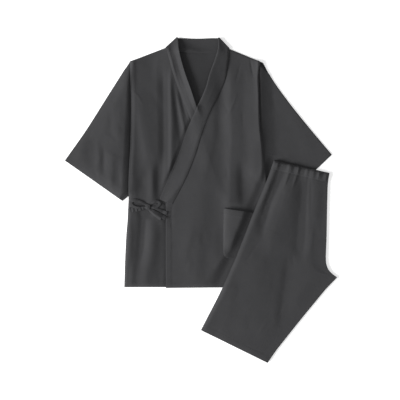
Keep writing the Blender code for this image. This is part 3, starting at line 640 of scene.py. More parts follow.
def cloth_piece(name, middle, thickness, cloth_map, closed=False):
    """Thin cloth of even thickness around a grid of points, with rounded edges.

    A closed grid's last column joins its first, as round a sleeve.  `cloth_map` has each point's
    place on the cut cloth, for the weave.
    """
    rows, columns = middle.shape[:2]
    thickness = np.broadcast_to(thickness, (rows, columns))
    normal = surface_normals(middle, closed) * (thickness / 2)[..., None]
    index = np.arange(rows * columns).reshape(rows, columns)
    count = rows * columns
    wrap = np.concatenate([index, index[:, :1]], axis=1) if closed else index
    faces = [quads(wrap[:-1].T, wrap[1:].T).reshape(-1, 4)]
    faces.append(faces[0][:, ::-1] + count)
    points = [(middle + normal).reshape(-1, 3), (middle - normal).reshape(-1, 3)]
    places = [cloth_map.reshape(-1, 2)] * 2
    if closed:
        borders = [(0, np.append(index[0], index[0, 0])), (-1, np.append(index[-1], index[-1, 0])[::-1])]
    else:
        borders = [(None, border_ring(index))]
    total = 2 * count
    flat_points, flat_places = middle.reshape(-1, 3), cloth_map.reshape(-1, 2)
    for row, ring in borders:
        loop = ring[:-1]
        if row is None:
            inside = np.concatenate([index[1], index[1:, -2], index[-2, -2::-1], index[-2::-1, 1]])[:-1]
        else:
            inside = index[1] if row == 0 else np.append(index[-2], index[-2, 0])[::-1][:-1]
        outward = flat_points[loop] - flat_points[inside]
        outward /= np.maximum(np.linalg.norm(outward, axis=1, keepdims=True), 1e-9)
        points.append(flat_points[loop] + outward * (thickness.ravel()[loop] * 0.42)[:, None])
        places.append(flat_places[loop])
        middle_ring = np.append(np.arange(len(loop)) + total, total)
        total += len(loop)
        faces.append(quads(middle_ring, ring))
        faces.append(quads(ring + count, middle_ring))
    points = np.concatenate(points)
    points[:, 2] = np.maximum(points[:, 2], 0.0)
    return mesh_piece(name, points, np.concatenate(faces), np.concatenate(places))


def mesh_piece(name, points, faces, places):
    """Mesh object from millimetre points on the layout plane, its faces pointing outwards."""
    mesh = bpy.data.meshes.new(name)
    mesh.vertices.add(len(points))
    mesh.vertices.foreach_set("co", (points * MM + SHIFT).astype(np.float32).ravel())
    mesh.loops.add(len(faces) * 4)
    mesh.loops.foreach_set("vertex_index", faces.astype(np.int32).ravel())
    mesh.polygons.add(len(faces))
    mesh.polygons.foreach_set("loop_start", np.arange(0, len(faces) * 4, 4, dtype=np.int32))
    mesh.update(calc_edges=True)
    made = mesh.uv_layers.new(name="Cloth")
    made.data.foreach_set("uv", (places * MM)[faces.ravel()].astype(np.float32).ravel())
    mesh.validate()
    shape = bmesh.new()
    shape.from_mesh(mesh)
    if shape.calc_volume(signed=True) < 0:
        bmesh.ops.reverse_faces(shape, faces=shape.faces)
        shape.to_mesh(mesh)
    shape.free()
    mesh.shade_smooth()
    piece = bpy.data.objects.new(name, mesh)
    bpy.context.scene.collection.objects.link(piece)
    return piece


def grain(plan, degrees=0.0):
    """Place of each point on the cut cloth, with the warp turned from straight up."""
    turn = math.radians(degrees)
    matrix = np.array([[math.cos(turn), math.sin(turn)], [-math.sin(turn), math.cos(turn)]])
    return plan[..., :2] @ matrix.T


def finish(piece, nodes, look):
    """Attach a piece to its body, hide the nodes that it stands for and give it its material."""
    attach(piece, "root")
    if nodes:
        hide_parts(*nodes)
    piece.data.materials.clear()
    piece.data.materials.append(look)


def tube_grid(top_plan, low_plan, top, low):
    """Closed grid around a flattened tube: above from first to last column, round, and back below."""
    above, below = np.dstack([top_plan, top]), np.dstack([low_plan, low])

    def fold(edge, neighbour, start, finish_at):
        middle = (above[:, edge] + below[:, edge]) / 2
        outward = above[:, edge, :2] - above[:, neighbour, :2]
        outward /= np.maximum(np.linalg.norm(outward, axis=1, keepdims=True), 1e-9)
        radius = (above[:, edge, 2] - below[:, edge, 2]) / 2
        arcs = []
        for angle in np.linspace(start, finish_at, TUBE_TURN + 1)[1:-1]:
            point = middle.copy()
            point[:, :2] += outward * (radius * math.cos(angle))[:, None]
            point[:, 2] += radius * math.sin(angle)
            arcs.append(point)
        return np.stack(arcs, axis=1)

    far = fold(-1, -2, math.pi / 2, -math.pi / 2)
    near = fold(0, 1, -math.pi / 2, math.pi / 2)
    return np.concatenate([above, far, below[:, ::-1], near], axis=1)


def tube_places(top_plan, low_plan):
    """Place on the cut cloth of each point of a tube's grid."""
    turn = TUBE_TURN - 1
    return np.concatenate([top_plan, np.repeat(top_plan[:, -1:], turn, axis=1), low_plan[:, ::-1],
                           np.repeat(top_plan[:, :1], turn, axis=1)], axis=1)


# ---------------------------------------------------------------- node trees

class Wire:
    """An output socket, for writing a node tree's maths as plain expressions."""

    def __init__(self, tree, socket):
        self.tree, self.socket = tree, socket

    def maths(self, operation, *others, clamp=False):
        node = self.tree.nodes.new("ShaderNodeMath")
        node.operation, node.use_clamp = operation, clamp
        for slot, value in zip(node.inputs, (self, *others)):
            if isinstance(value, Wire):
                self.tree.links.new(value.socket, slot)
            else:
                slot.default_value = value
        return Wire(self.tree, node.outputs[0])

    def __add__(self, other):
        return self.maths("ADD", other)

    __radd__ = __add__

    def __mul__(self, other):
        return self.maths("MULTIPLY", other)

    __rmul__ = __mul__

    def __sub__(self, other):
        return self.maths("SUBTRACT", other)

    def __rsub__(self, other):
        return (self * -1.0) + other

    def sine(self):
        return self.maths("SINE")

    def sibling(self, output):
        """Another output of the same node."""
        return Wire(self.tree, self.socket.node.outputs[output])


class Builder:
    """A node tree under construction."""

    def __init__(self, tree):
        self.tree = tree
        tree.nodes.clear()

    def node(self, kind, settings=None, inputs=None, output=0):
        """Add a node; its settings come first, then its sockets' values or links."""
        node = self.tree.nodes.new(kind)
        for key, value in (settings or {}).items():
            setattr(node, key, value)
        for key, value in (inputs or {}).items():
            if isinstance(value, Wire):
                self.tree.links.new(value.socket, node.inputs[key])
            else:
                node.inputs[key].default_value = value
        return Wire(self.tree, node.outputs[output]) if len(node.outputs) else None


class Look(Builder):
    """A material under construction."""

    def __init__(self, name):
        self.material = bpy.data.materials.get(name) or bpy.data.materials.new(name)
        self.material.use_nodes = True
        super().__init__(self.material.node_tree)

    def mix(self, share, first, second):
        """Colour between two colours."""
        return self.node("ShaderNodeMix", {"data_type": "RGBA"}, {0: share, 6: first, 7: second}, 2)


class Shaper(Builder):
    """Geometry Nodes under construction, with a wire from each of their named inputs."""

    def __init__(self, name, inputs, material_input):
        old = bpy.data.node_groups.get(name)
        if old:
            bpy.data.node_groups.remove(old)
        super().__init__(bpy.data.node_groups.new(name, "GeometryNodeTree"))
        face = self.tree.interface
        sockets = (("Geometry", "Geometry", None), *inputs, (material_input, "Material", None))
        for label, kind, value in sockets:
            socket = face.new_socket(label, in_out="INPUT", socket_type="NodeSocket" + kind)
            if value is not None:
                socket.default_value = value
        face.new_socket("Geometry", in_out="OUTPUT", socket_type="NodeSocketGeometry")
        entry = self.node("NodeGroupInput").socket.node
        self.given = {socket.name: Wire(self.tree, socket) for socket in entry.outputs if socket.name}

    def end(self, geometry, material):
        """Realize Instances and Set Material end the tree."""
        real = self.node("GeometryNodeRealizeInstances", None, {0: geometry})
        painted = self.node("GeometryNodeSetMaterial", None, {"Geometry": real, "Material": material})
        self.node("NodeGroupOutput", None, {0: painted})
        return self.tree


def shaped_mesh(item, tree, values):
    """The item's mesh after the tree, whose inputs are set by identifier before it is evaluated."""
    modifier = item.modifiers.new("Shape", "NODES")
    modifier.node_group = tree
    by_name = {socket.name: socket.identifier for socket in tree.interface.items_tree
               if socket.in_out == "INPUT"}
    for name, value in values.items():
        modifier[by_name[name]] = value
    bpy.context.view_layer.update()
    mesh = bpy.data.meshes.new_from_object(item.evaluated_get(bpy.context.evaluated_depsgraph_get()))
    item.modifiers.clear()
    return mesh


# ---------------------------------------------------------------- cotton

def shade(colour, factor):
    """A colour made darker or lighter, for a colour socket."""
    return (*(min(1.0, channel * factor) for channel in colour), 1.0)


def cotton_look(name, colour, pitch, crumple):
    """Plain-woven cotton: threads, thicker slub threads, soft mottling and a dry surface."""
    look = Look(name)
    place = look.node("ShaderNodeUVMap", {"uv_map": "Cloth"})
    across = look.node("ShaderNodeSeparateXYZ", None, {0: place})
    along = across.sibling(1)
    body = look.node("ShaderNodeTexCoord", output=3)

    def noise(vector, scale, detail=2.0):
        return look.node("ShaderNodeTexNoise", {"noise_dimensions": "3D"},
                         {"Vector": vector, "Scale": scale, "Detail": detail, "Roughness": 0.55})

    def stretched(size_across, size_along, detail=1.0):
        vector = look.node("ShaderNodeCombineXYZ", None,
                           {0: across * (1.0 / size_across), 1: along * (1.0 / size_along)})
        return noise(vector, 1.0, detail)

    warp_slub = stretched(0.0011, 0.030)
    weft_slub = stretched(0.030, 0.0011)
    mottle = noise(body, 26.0)
    patches = noise(body, 7.0, 1.0)
    fuzz = noise(body, 900.0, 1.0)
    turn = 2.0 * math.pi / pitch
    warp = (across * turn + warp_slub * 1.2).sine()
    weft = (along * turn + weft_slub * 1.2).sine()
    weave = warp * weft
    threads = weave * 0.5 + 0.5
    slubs = (warp_slub - 0.5) + (weft_slub - 0.5)
    tone = (threads * 0.20 + slubs * 0.34 + (mottle - 0.5) * 0.22 + (patches - 0.5) * 0.16
            + (fuzz - 0.5) * 0.14 + 0.40)
    tone = tone.maths("MULTIPLY", 1.0, clamp=True)
    base = look.mix(tone, shade(colour, 0.66), shade(colour, 1.18))
    rough = (mottle - 0.5) * 0.10 + 0.86
    creased = noise(body, 62.0, 3.0)
    relief_mm = weave * 0.055 + slubs * 0.05 + fuzz * 0.02 + creased * crumple * 2.0
    bump = look.node("ShaderNodeBump", None, {"Strength": 0.85, "Distance": 0.001, "Height": relief_mm})
    shader = look.node("ShaderNodeBsdfPrincipled", None, {
        "Base Color": base, "Roughness": rough, "Metallic": 0.0, "Specular IOR Level": 0.12,
        "Sheen Weight": 0.07, "Sheen Roughness": 0.50, "Sheen Tint": (0.80, 0.80, 0.84, 1.0),
        "Normal": bump})
    look.node("ShaderNodeOutputMaterial", None, {"Surface": shader})
    return look.material


def thread_look(name, colour):
    """Twisted sewing thread."""
    look = Look(name)
    body = look.node("ShaderNodeTexCoord", output=3)
    twist = look.node("ShaderNodeTexNoise", None, {"Vector": body, "Scale": 1800.0, "Detail": 1.0})
    base = look.mix(twist, shade(colour, 0.8), shade(colour, 1.3))
    bump = look.node("ShaderNodeBump", None, {"Strength": 0.6, "Distance": 0.0001, "Height": twist})
    shader = look.node("ShaderNodeBsdfPrincipled", None, {
        "Base Color": base, "Roughness": 0.62, "Metallic": 0.0, "Sheen Weight": 0.15, "Normal": bump})
    look.node("ShaderNodeOutputMaterial", None, {"Surface": shader})
    return look.material


def cotton(slot, crumple):
    """The set's cotton for one slot, with how crumpled its small surface is."""
    settings = bpy.context.scene.jinbei_settings
    return cotton_look(slot, settings.cotton_colour, settings.weave_pitch, crumple)


def jacket_cotton():
    return cotton("jacket_cotton", 0.10)


def collar_cotton():
    return cotton("collar_cotton", 0.13)


def tie_cotton():
    return cotton("tie_cotton", 0.16)


def trouser_cotton():
    return cotton("trouser_cotton", 0.11)


# ---------------------------------------------------------------- jacket

ROLL = (0.0, 0.5, 1.2, 2.2, 3.5, 5.2, 7.4)              # grid lines near a rolled edge
HEM_LINES = (0.0, 1.2, 4.0, 8.0, 12.0, 15.4, 16.4, 17.4, 18.4, 20.5)


def thickness_of(field="cloth_thickness"):
    """A thickness from the settings, in millimetres."""
    return getattr(bpy.context.scene.jinbei_settings, field) / MM


def hem_step(distance, width=HEM):
    """A turned-up hem stands a little proud, with a groove along its stitches."""
    proud = 0.35 * (1.0 - smooth((distance - width + 1.0) / 2.0)) * smooth(distance / 1.5 + 0.2)
    groove = -0.22 * np.exp(-((distance - (width - STITCH_IN)) / 1.3) ** 2)
    return proud + groove


def make_back():
    """The back panel, laid first: what an earlier run laid is forgotten."""
    ground.height[:] = 0.0
    surfaces.clear()
    thick = thickness_of()
    v = shares(BACK_LENGTH, 5.0, ROLL[::2])
    u = shares(BACK_WIDTH, 5.0, ROLL[::2], ROLL[::2])
    right = rail([RIGHT_SIDE[0], RIGHT_UNDERARM, RIGHT_SIDE[-1]], v)
    left = rail([BACK_TOP[-1], LEFT_UNDERARM, LEFT_SIDE[-1]], v)
    plan = panel(right, left, rail(BACK_TOP, u), rail([RIGHT_SIDE[-1], LEFT_SIDE[-1]], u), v, u)
    side, far_side, top, hem = border_distances(plan)
    inside = smooth(np.minimum(np.minimum(side, far_side), np.minimum(top, hem)) / 40.0)
    rise = 0.5 * (soft_noise(plan, (40.0, 70.0), 3) + 1.0) * inside
    for crease in BACK_CREASES:
        rise = rise + crease_height(plan, crease)
    middle = np.dstack([plan, thick / 2 + rise])
    lay("jacket_back", middle, thick)
    piece = cloth_piece("jacket_back", middle, thick, grain(plan))
    finish(piece, ["back_panel"], jacket_cotton())
    plan_area(plan)


def sleeve_plans(top_edge, underarm, cuff_low, side, form, v, u):
    """Plans of a sleeve's layers, the upper one going under the front, and the distances from both seams."""
    seam = rail([top_edge[0], underarm], u) + np.array([side * 0.3, 0.0])
    fold = rail(curved(top_edge), v)
    fold[0] = seam[0]
    lower = rail([seam[-1], cuff_low], v)
    cuff = rail([top_edge[-1], cuff_low], u)
    edge_radius = 0.6 + (form.edge_radius - 0.6) * smooth(v / 0.10)
    across = lower - fold
    width = np.maximum(np.linalg.norm(across, axis=1, keepdims=True), 1e-6)
    inward = across / width * np.minimum(edge_radius[:, None], width * 0.1)
    low_plan = panel(fold + inward, lower - inward, seam, cuff, v, u)
    from_seam = np.linalg.norm(low_plan - low_plan[:1], axis=2)
    tucked = form.tuck * (1.0 - smooth(from_seam / (24.0 + form.tuck)))
    top_plan = low_plan.copy()
    top_plan[..., 0] -= side * tucked
    return low_plan, top_plan, from_seam, np.maximum(from_seam - tucked, 0.0)


def sleeve_top(low_plan, free, from_seam, from_body, u, loose, form):
    """Height of a sleeve's upper layer, which falls away from the body's edge and then lies loose."""
    near, far, _, hem = border_distances(low_plan)
    puffed = form.edge_puff * np.exp(-(np.minimum(near, far) / 40.0) ** 2)
    free = eased(near / form.fold_rise) * smooth(far / 16.0) * free
    free = free * (0.3 + 0.7 * eased(hem / form.cuff_rise))
    beside = 1.0 - eased(from_body / (form.strip_top + (form.strip_low - form.strip_top) * u))
    away = 0.42 + 0.58 * np.exp(-(from_seam / 140.0) ** 2)
    loose = loose * form.looseness + form.fullness * away
    at_seam = form.at_seam_top + (form.at_seam_low - form.at_seam_top) * u
    at_seam = at_seam * (0.30 + 0.70 * smooth((from_seam - 1.0) / 12.0))
    lifted = (loose * (1.0 - beside) + at_seam * beside) * free
    return thickness_of() / 2 + 1.2 + puffed + lifted + hem_step(hem) * free


def sleeve(name, node, top_edge, underarm, cuff_low, side, creases, seed, lean_degrees, form):
    """Drooping sleeve: a flattened tube from its seam beside the body to the cuff."""
    thick = thickness_of()
    v = shares(SLEEVE_LENGTH, 3.4, (0.0, 1.5, 3.5), HEM_LINES)
    u = shares(SLEEVE_WIDTH, 3.4, (0.0, 1.6, 3.6), (0.0, 1.6, 3.6))
    low_plan, top_plan, from_seam, from_body = sleeve_plans(top_edge, underarm, cuff_low, side, form, v, u)
    loose = relief(top_plan, creases, seed, 14, lean_degrees)
    top = sleeve_top(low_plan, pressed(top_plan), from_seam, from_body, u, loose, form)
    middle = tube_grid(top_plan, low_plan, top, np.full(top.shape, thick / 2))
    lay(name, np.dstack([top_plan, top]), thick)
    run = np.subtract(top_edge[-1], top_edge[0])
    places = grain(tube_places(top_plan, low_plan), 90.0 - math.degrees(math.atan2(run[1], run[0])))
    piece = cloth_piece(name, middle, thick, places, closed=True)
    finish(piece, [node], jacket_cotton())
    2.0 * plan_area(low_plan)


def make_sleeves():
    """Both sleeves, beside the back panel."""
    sleeve("jacket_right_sleeve", "right_sleeve", RIGHT_SLEEVE_TOP, RIGHT_UNDERARM, RIGHT_CUFF_LOW, -1,
           RIGHT_SLEEVE_CREASES, 21, 4.0, RIGHT_SLEEVE_FORM)
    sleeve("jacket_left_sleeve", "left_sleeve", LEFT_SLEEVE_TOP, LEFT_UNDERARM, LEFT_CUFF_LOW, 1,
           LEFT_SLEEVE_CREASES, 31, 12.0, LEFT_SLEEVE_FORM)


def over_edge(up):
    """How far across the over front and its collar reach at each height."""
    edge = OVER_INNER[::-1]
    collar = np.interp(up, [p.up for p in edge], [p.across for p in edge])
    return np.where(up < COLLAR_END_UP, -FRONT_OVERLAP, collar)


def moved(points, across):
    """The points moved sideways."""
    return [Point(p.across + across, p.up) for p in points]


def front_shares():
    """Rows of a front: those beside the collar, those beside the free edge, and both on its side."""
    upper = shares(COLLAR_SEAM, 3.1, ROLL)
    lower = shares(FREE_EDGE, 3.1, (), HEM_LINES)
    return upper, lower, np.concatenate([upper * UPPER_SHARE, UPPER_SHARE + lower[1:] * (1 - UPPER_SHARE)])


def front_rail(collar_seam, free_end, upper, lower):
    """Inner edge of a front: along the collar, and then straight down."""
    free_top = Point(free_end.across, COLLAR_END_UP)
    seam = np.concatenate([curved(collar_seam), [free_top]])
    return np.concatenate([rail(seam, upper), rail([free_top, free_end], lower)[1:]])


def front_middle(plan, creases, seed, roll, edge, shoulder, seam, hem, fade, passes, thick):
    """Middle surface of a front: `roll` goes from 0 at its side edge to 1, `edge` lifts it beside there."""
    loose = relief(plan, creases, seed, 16)
    held = roll * rounded_up(shoulder, 6.0) * fade * (0.1 + 0.9 * eased(hem / 13.0))
    return drape(plan, passes) + thick / 2 + (loose * smooth(seam / 14.0) + edge) * held


def make_right_front(thick):
    """The under front, flat where the over front hides it."""
    upper, lower, v = front_shares()
    u = shares(FRONT_WIDTH, 3.1, ROLL, (0.0, 2.0))
    seam = moved(UNDER_OUTER[:-1], SEAM)
    free_end = Point(FRONT_OVERLAP, 0.0)
    inner = front_rail(seam, free_end, upper, lower)
    plan = panel(rail(curved(RIGHT_SIDE), v), inner, rail([RIGHT_SIDE[0], seam[0]], u),
                 rail([RIGHT_SIDE[-1], free_end], u), v, u)
    side, far, shoulder, hem = border_distances(plan)
    past = 8.0 * smooth((COLLAR_END_UP + 20.0 - plan[..., 1]) / 40.0)
    showing = smooth((over_edge(plan[..., 1]) + past - plan[..., 0]) / (14.0 + past))
    high = smooth((plan[..., 1] - 250.0) / 90.0)
    radius = 8.0 + 7.0 * high
    edge = (1.5 + 2.0 * high) * (1.0 - smooth((side - radius) / 70.0))
    height = front_middle(plan, RIGHT_FRONT_CREASES, 41, eased(side / radius), edge, shoulder, far + 14.0,
                          hem, showing, 70, thick)
    height += hem_step(hem) * showing
    middle = np.dstack([plan, height])
    lay("jacket_right_front", middle, thick)
    piece = cloth_piece("jacket_right_front", middle, thick, grain(plan, 1.0))
    finish(piece, ["right_front"], jacket_cotton())
    plan_area(plan)


def make_left_front(thick):
    """The over front, flat where the trousers lie on it."""
    upper, lower, v = front_shares()
    u = shares(FRONT_WIDTH, 3.1, HEM_LINES, ROLL)
    seam = moved(OVER_OUTER[:-1], -SEAM)
    free_end = Point(-FRONT_OVERLAP, -OVER_HEM_DROP)
    inner = front_rail(seam, free_end, upper, lower)
    plan = panel(inner, rail(curved(LEFT_SIDE), v), rail([seam[0], LEFT_SIDE[0]], u),
                 rail([free_end, LEFT_SIDE[-1]], u), v, u)
    near, side, shoulder, hem = border_distances(plan)
    below = smooth((COLLAR_END_UP - 8.0 - plan[..., 1]) / 14.0)
    free = np.maximum(near, below * 30.0)
    high = smooth((plan[..., 1] - 250.0) / 90.0)
    edge = (1.5 + 0.7 * high) * (1.0 - smooth((side - 5.0) / 50.0))
    low = smooth((440.0 - plan[..., 1]) / 120.0)
    height = front_middle(plan, LEFT_FRONT_CREASES, 51, eased(side / (5.0 + 9.0 * low)), edge, shoulder,
                          free + 8.0, hem, pressed(plan), 160, thick)
    height += (hem_step(hem) + below * hem_step(near, FACING)) * (0.3 + 0.7 * pressed(plan))
    middle = np.dstack([plan, height])
    lay("jacket_left_front", middle, thick)
    piece = cloth_piece("jacket_left_front", middle, thick, grain(plan, -1.0))
    finish(piece, ["left_front"], jacket_cotton())
    plan_area(plan)


def collar_width():
    """Grid lines across the collar, from its inner edge to its seam."""
    return shares(COLLAR_WIDTH, 2.1, (0.0, 0.5, 1.2, 2.2), (0.0, 0.8, 1.8))


def band_thickness(u, thick):
    """The collar thins towards its seam."""
    return thick * (1.0 - 0.50 * smooth((u - 0.45) / 0.55))


def collar_leg(name, inner, outer, form, thick):
    """One leg of the collar from the shoulder down: its inner edge stands up beside the neck."""
    marks = shares(COLLAR_LENGTH, 2.6, (), (0.0, 1.0, 2.4))
    u = collar_width()
    plan = straight(rail(curved(inner), marks), rail(curved(outer), marks), u)
    rest = drape(plan, 40) + band_thickness(u, thick)[None, :] / 2
    from_top = marks[:, None] * COLLAR_LENGTH
    to_end = COLLAR_LENGTH - from_top
    lift = curved(form.lift, 8)
    raised = np.interp(from_top, lift[:, 0], lift[:, 1])
    hollow = form.hollow * (0.62 + 0.38 * smooth(from_top / 110.0))
    tilt = raised * (1.0 - u[None, :]) ** hollow
    outer_side = (u * (1.0 - smooth((u - 0.74) / 0.26)))[None, :]
    tilt += form.low_rise * smooth((from_top - 230.0) / 120.0) * smooth(to_end / 30.0) * outer_side
    tilt -= np.minimum(form.rolled, 0.5 * raised) * (1.0 - rounded_up(u[None, :] * COLLAR_WIDTH, 5.5))
    swell = 2.2 * np.sin(math.pi * u ** 1.3)[None, :] * smooth(from_top / 60.0)
    swell = swell * (0.25 + 0.75 * smooth(to_end / 40.0))
    ripple = sum(size * np.exp(-((u[None, :] - at) / 0.11) ** 2) for at, size in form.ridges)
    waver = 0.5 + 0.5 * soft_noise(plan, (46.0, 46.0), 77)
    height = rest + tilt + swell + ripple * waver * smooth(from_top / 40.0)
    height += 0.22 * soft_noise(plan, (14.0, 30.0), 78) * np.sin(math.pi * u)[None, :]
    lay(name, np.dstack([plan, height]), thick)


def fold_rulings(low_row, high_row, outward, segments=8):
    """Rows of a half turn from a lower ruling to the one above it."""
    middle = (low_row + high_row) / 2
    half = (high_row - low_row) / 2
    rows = []
    for angle in np.linspace(-math.pi / 2, math.pi / 2, segments + 1)[1:-1]:
        point = middle + half * math.sin(angle)
        point[:, :2] += outward * (np.abs(half[:, 2]) * math.cos(angle))[:, None]
        rows.append(point)
    return np.array(rows)


def make_fronts():
    """Both fronts, and the room for the collar's three stretches below, between and over them."""
    thick, band = thickness_of(), thickness_of("collar_thickness")
    along, width = shares(NECK_LENGTH, 2.6), collar_width()
    neck_plan = straight(rail(curved(NECK_TOP), along), rail(curved(NECK_SEAM), along), width)
    neck_height = 0.4 + drape(neck_plan, 30) + band_thickness(width, band)[None, :] / 2
    lay("collar_neck", np.dstack([neck_plan, neck_height]), band)
    make_right_front(thick)
    collar_leg("collar_under", UNDER_INNER, UNDER_OUTER, UNDER_LEG, band)
    make_left_front(thick)
    collar_leg("collar_over", OVER_INNER, OVER_OUTER, OVER_LEG, band)


def make_collar():
    """One band round the neck, folded over at both shoulders."""
    if "collar_over" not in surfaces:
        raise RuntimeError("The collar needs the fronts: make them first")
    band = thickness_of("collar_thickness")
    under, neck, over = (surfaces[key] for key in ("collar_under", "collar_neck", "collar_over"))

    def pulled_in(surface, other, inward):
        """Bring the rows near a shoulder fold inwards, to make room for its half turn."""
        radius = np.maximum((surface[0, :, 2] - other[:, 2]) / 2, 0.9)
        reach = np.linalg.norm(surface[..., :2] - surface[:1, :, :2], axis=2)
        moved_by = radius[None, :] * (1.0 - smooth(reach / 36.0))
        result = surface.copy()
        result[..., :2] += inward * moved_by[..., None]
        return result, radius

    def square_to(row, side):
        """Level direction square to a fold, towards the given side."""
        run = row[-1, :2] - row[0, :2]
        run /= np.linalg.norm(run)
        across = np.array([-run[1], run[0]])
        return across * (side * np.sign(across[0]))

    in_right, in_left = square_to(under[0], 1), square_to(over[0], -1)
    under, right_radius = pulled_in(under, neck[0], in_right)
    over, left_radius = pulled_in(over, neck[-1], in_left)
    from_right = np.linalg.norm(neck[..., :2] - neck[:1, :, :2], axis=2)
    from_left = np.linalg.norm(neck[..., :2] - neck[-1:, :, :2], axis=2)
    neck = neck.copy()
    neck[..., :2] += in_right * (right_radius[None, :] * (1.0 - smooth(from_right / 30.0)))[..., None]
    neck[..., :2] += in_left * (left_radius[None, :] * (1.0 - smooth(from_left / 30.0)))[..., None]
    right_turn = fold_rulings(neck[0], under[0], -in_right)
    left_turn = fold_rulings(neck[-1], over[0], -in_left)
    middle = np.concatenate([under[::-1], right_turn[::-1], neck, left_turn, over])
    steps = np.linalg.norm(np.diff(middle, axis=0), axis=2).mean(axis=1)
    reached = np.concatenate([[0.0], np.cumsum(steps)])
    width = np.linspace(0.0, 1.0, middle.shape[1]) * COLLAR_CUT_WIDTH
    places = np.dstack(np.broadcast_arrays(width[None, :], reached[:, None]))
    thins = band_thickness(width / COLLAR_CUT_WIDTH, band)[None, :]
    piece = cloth_piece("jacket_collar", middle, thins, places)
    finish(piece, ["collar_right", "collar_neck", "collar_left"], collar_cotton())


def make_pocket():
    """The patch pocket, which stands open a little at its mouth."""
    thick = thickness_of()
    lines = (0.0, 0.6, 1.6, 2.6, 4.2)
    width = POCKET_RIGHT - POCKET_LEFT
    u = shares(width, 2.4, lines, lines)
    v = shares(POCKET_DEPTH, 2.4, (0.0, 1.2, 3.0), lines)
    x = POCKET_LEFT + width * u
    top = POCKET_TOP + POCKET_SLOPE * width * u
    from_side = np.minimum(x - POCKET_LEFT, POCKET_RIGHT - x)
    cut = np.clip(POCKET_CORNER - from_side, 0.0, None)
    corner = POCKET_CORNER - np.sqrt(np.clip(POCKET_CORNER ** 2 - cut ** 2, 0.0, None))
    y = top - (POCKET_DEPTH - corner) * v[:, None]
    plan = np.dstack([np.broadcast_to(x, y.shape), y])
    near, far, mouth, bottom = border_distances(plan)
    free = pressed(plan)
    seam = np.minimum(np.minimum(near, far), bottom)
    sewn = smooth(seam / 9.0)
    open_mouth = 5.6 * np.sin(math.pi * u)[None, :] ** 0.7 * (1.0 - smooth(mouth / 60.0))
    proud = 0.5 * (1.0 - smooth((mouth - POCKET_HEM + 1.0) / 2.0)) + 0.35 * (1.0 - smooth((seam - 4.0) / 3.0))
    loose = (1.2 + 0.5 * soft_noise(plan, (26.0, 40.0), 61)) * sewn
    for crease in POCKET_CREASES:
        loose = loose + crease_height(plan, crease) * sewn
    loose = np.maximum(loose, 0.0)
    height = drape(plan, 30) + thick / 2 + (open_mouth * sewn + loose) * (0.25 + 0.75 * free) + proud
    middle = np.dstack([plan, height])
    lay("jacket_pocket", middle, thick)
    piece = cloth_piece("jacket_pocket", middle, thick, grain(plan, 0.5))
    finish(piece, ["pocket"], jacket_cotton())
    plan_area(plan) * 1.02


# ---------------------------------------------------------------- ties

def squared(value, power):
    """A sine or cosine made squarer, for the section of something flat."""
    return np.sign(value) * np.abs(value) ** power


def tape_piece(name, node, sections, ruched, seed):
    """Sewn tape through its sections, rolled about its run, with rounded edges and small crinkles."""
    thick = thickness_of("tape_thickness")
    table = np.array(sections, float)
    line = curved(table[:, :2], 12)
    length = float(line_reach(line)[-1])
    marks = np.linspace(0.0, 1.0, max(12, int(length / 1.3)))
    middle = rail(line, marks)
    key = line_reach(table[:, :2])
    key /= key[-1]
    lift, width, roll = (np.interp(marks, key, table[:, k]) for k in (2, 3, 4))
    run = np.gradient(middle, axis=0)
    run /= np.linalg.norm(run, axis=1)[:, None]
    aside = np.column_stack([-run[:, 1], run[:, 0]])
    cos, sin = np.cos(np.radians(roll)), np.sin(np.radians(roll))
    reach = np.maximum(width * cos, 3.0)[:, None] / 2
    footprint = np.stack([middle - aside * reach, middle, middle + aside * reach], axis=1)
    rest = ground.under(footprint).max(axis=1) + GAP
    stand = np.abs(width / 2 * sin) + thick / 2 * np.abs(cos)
    height = rest + np.where(lift <= stand, stand + lift, lift)
    height = np.convolve(np.pad(height, 3, mode="edge"), np.ones(7) / 7, mode="valid")
    height = np.maximum(height, rest + stand)
    wave = ruched * np.sin(middle[:, 0] * 2 * math.pi / 10.5 + 0.8 * np.sin(middle[:, 0] * 0.37))
    angle = np.arange(TAPE_SIDES) * 2 * math.pi / TAPE_SIDES
    wide, deep = squared(np.cos(angle), 0.55), squared(np.sin(angle), 0.70)
    draw = np.random.default_rng(seed + 5)
    crinkle = 0.16 * np.cumsum(draw.normal(0.0, 0.5, (len(marks), 1)), axis=0)
    crinkle = crinkle - marks[:, None] * crinkle[-1]
    half_width = (width / 2)[:, None] * (1.0 - 0.07 * ruched * np.cos(middle[:, :1] * 1.7))
    bulge = 0.30 * (1.0 - wide ** 2)[None, :] * np.sign(deep)[None, :]
    uneven = (wave[:, None] + crinkle) * (1.0 - 0.25 * wide ** 2)
    offset_wide = wide[None, :] * half_width
    offset_deep = deep[None, :] * thick / 2 + bulge * 0.6 + uneven
    cos, sin = cos[:, None], sin[:, None]
    points = np.empty((len(marks), TAPE_SIDES, 3))
    points[..., :2] = middle[:, None] + aside[:, None] * (cos * offset_wide - sin * offset_deep)[..., None]
    points[..., 2] = height[:, None] + sin * offset_wide + cos * offset_deep
    lowest = points[..., 2].min(axis=1) - rest
    points[..., 2] += np.maximum(-lowest, 0.0)[:, None]
    places = np.dstack(np.broadcast_arrays((angle * 3.2)[None, :], (marks * length)[:, None]))
    piece = ringed_solid(name, points, places)
    finish(piece, [node], tie_cotton())


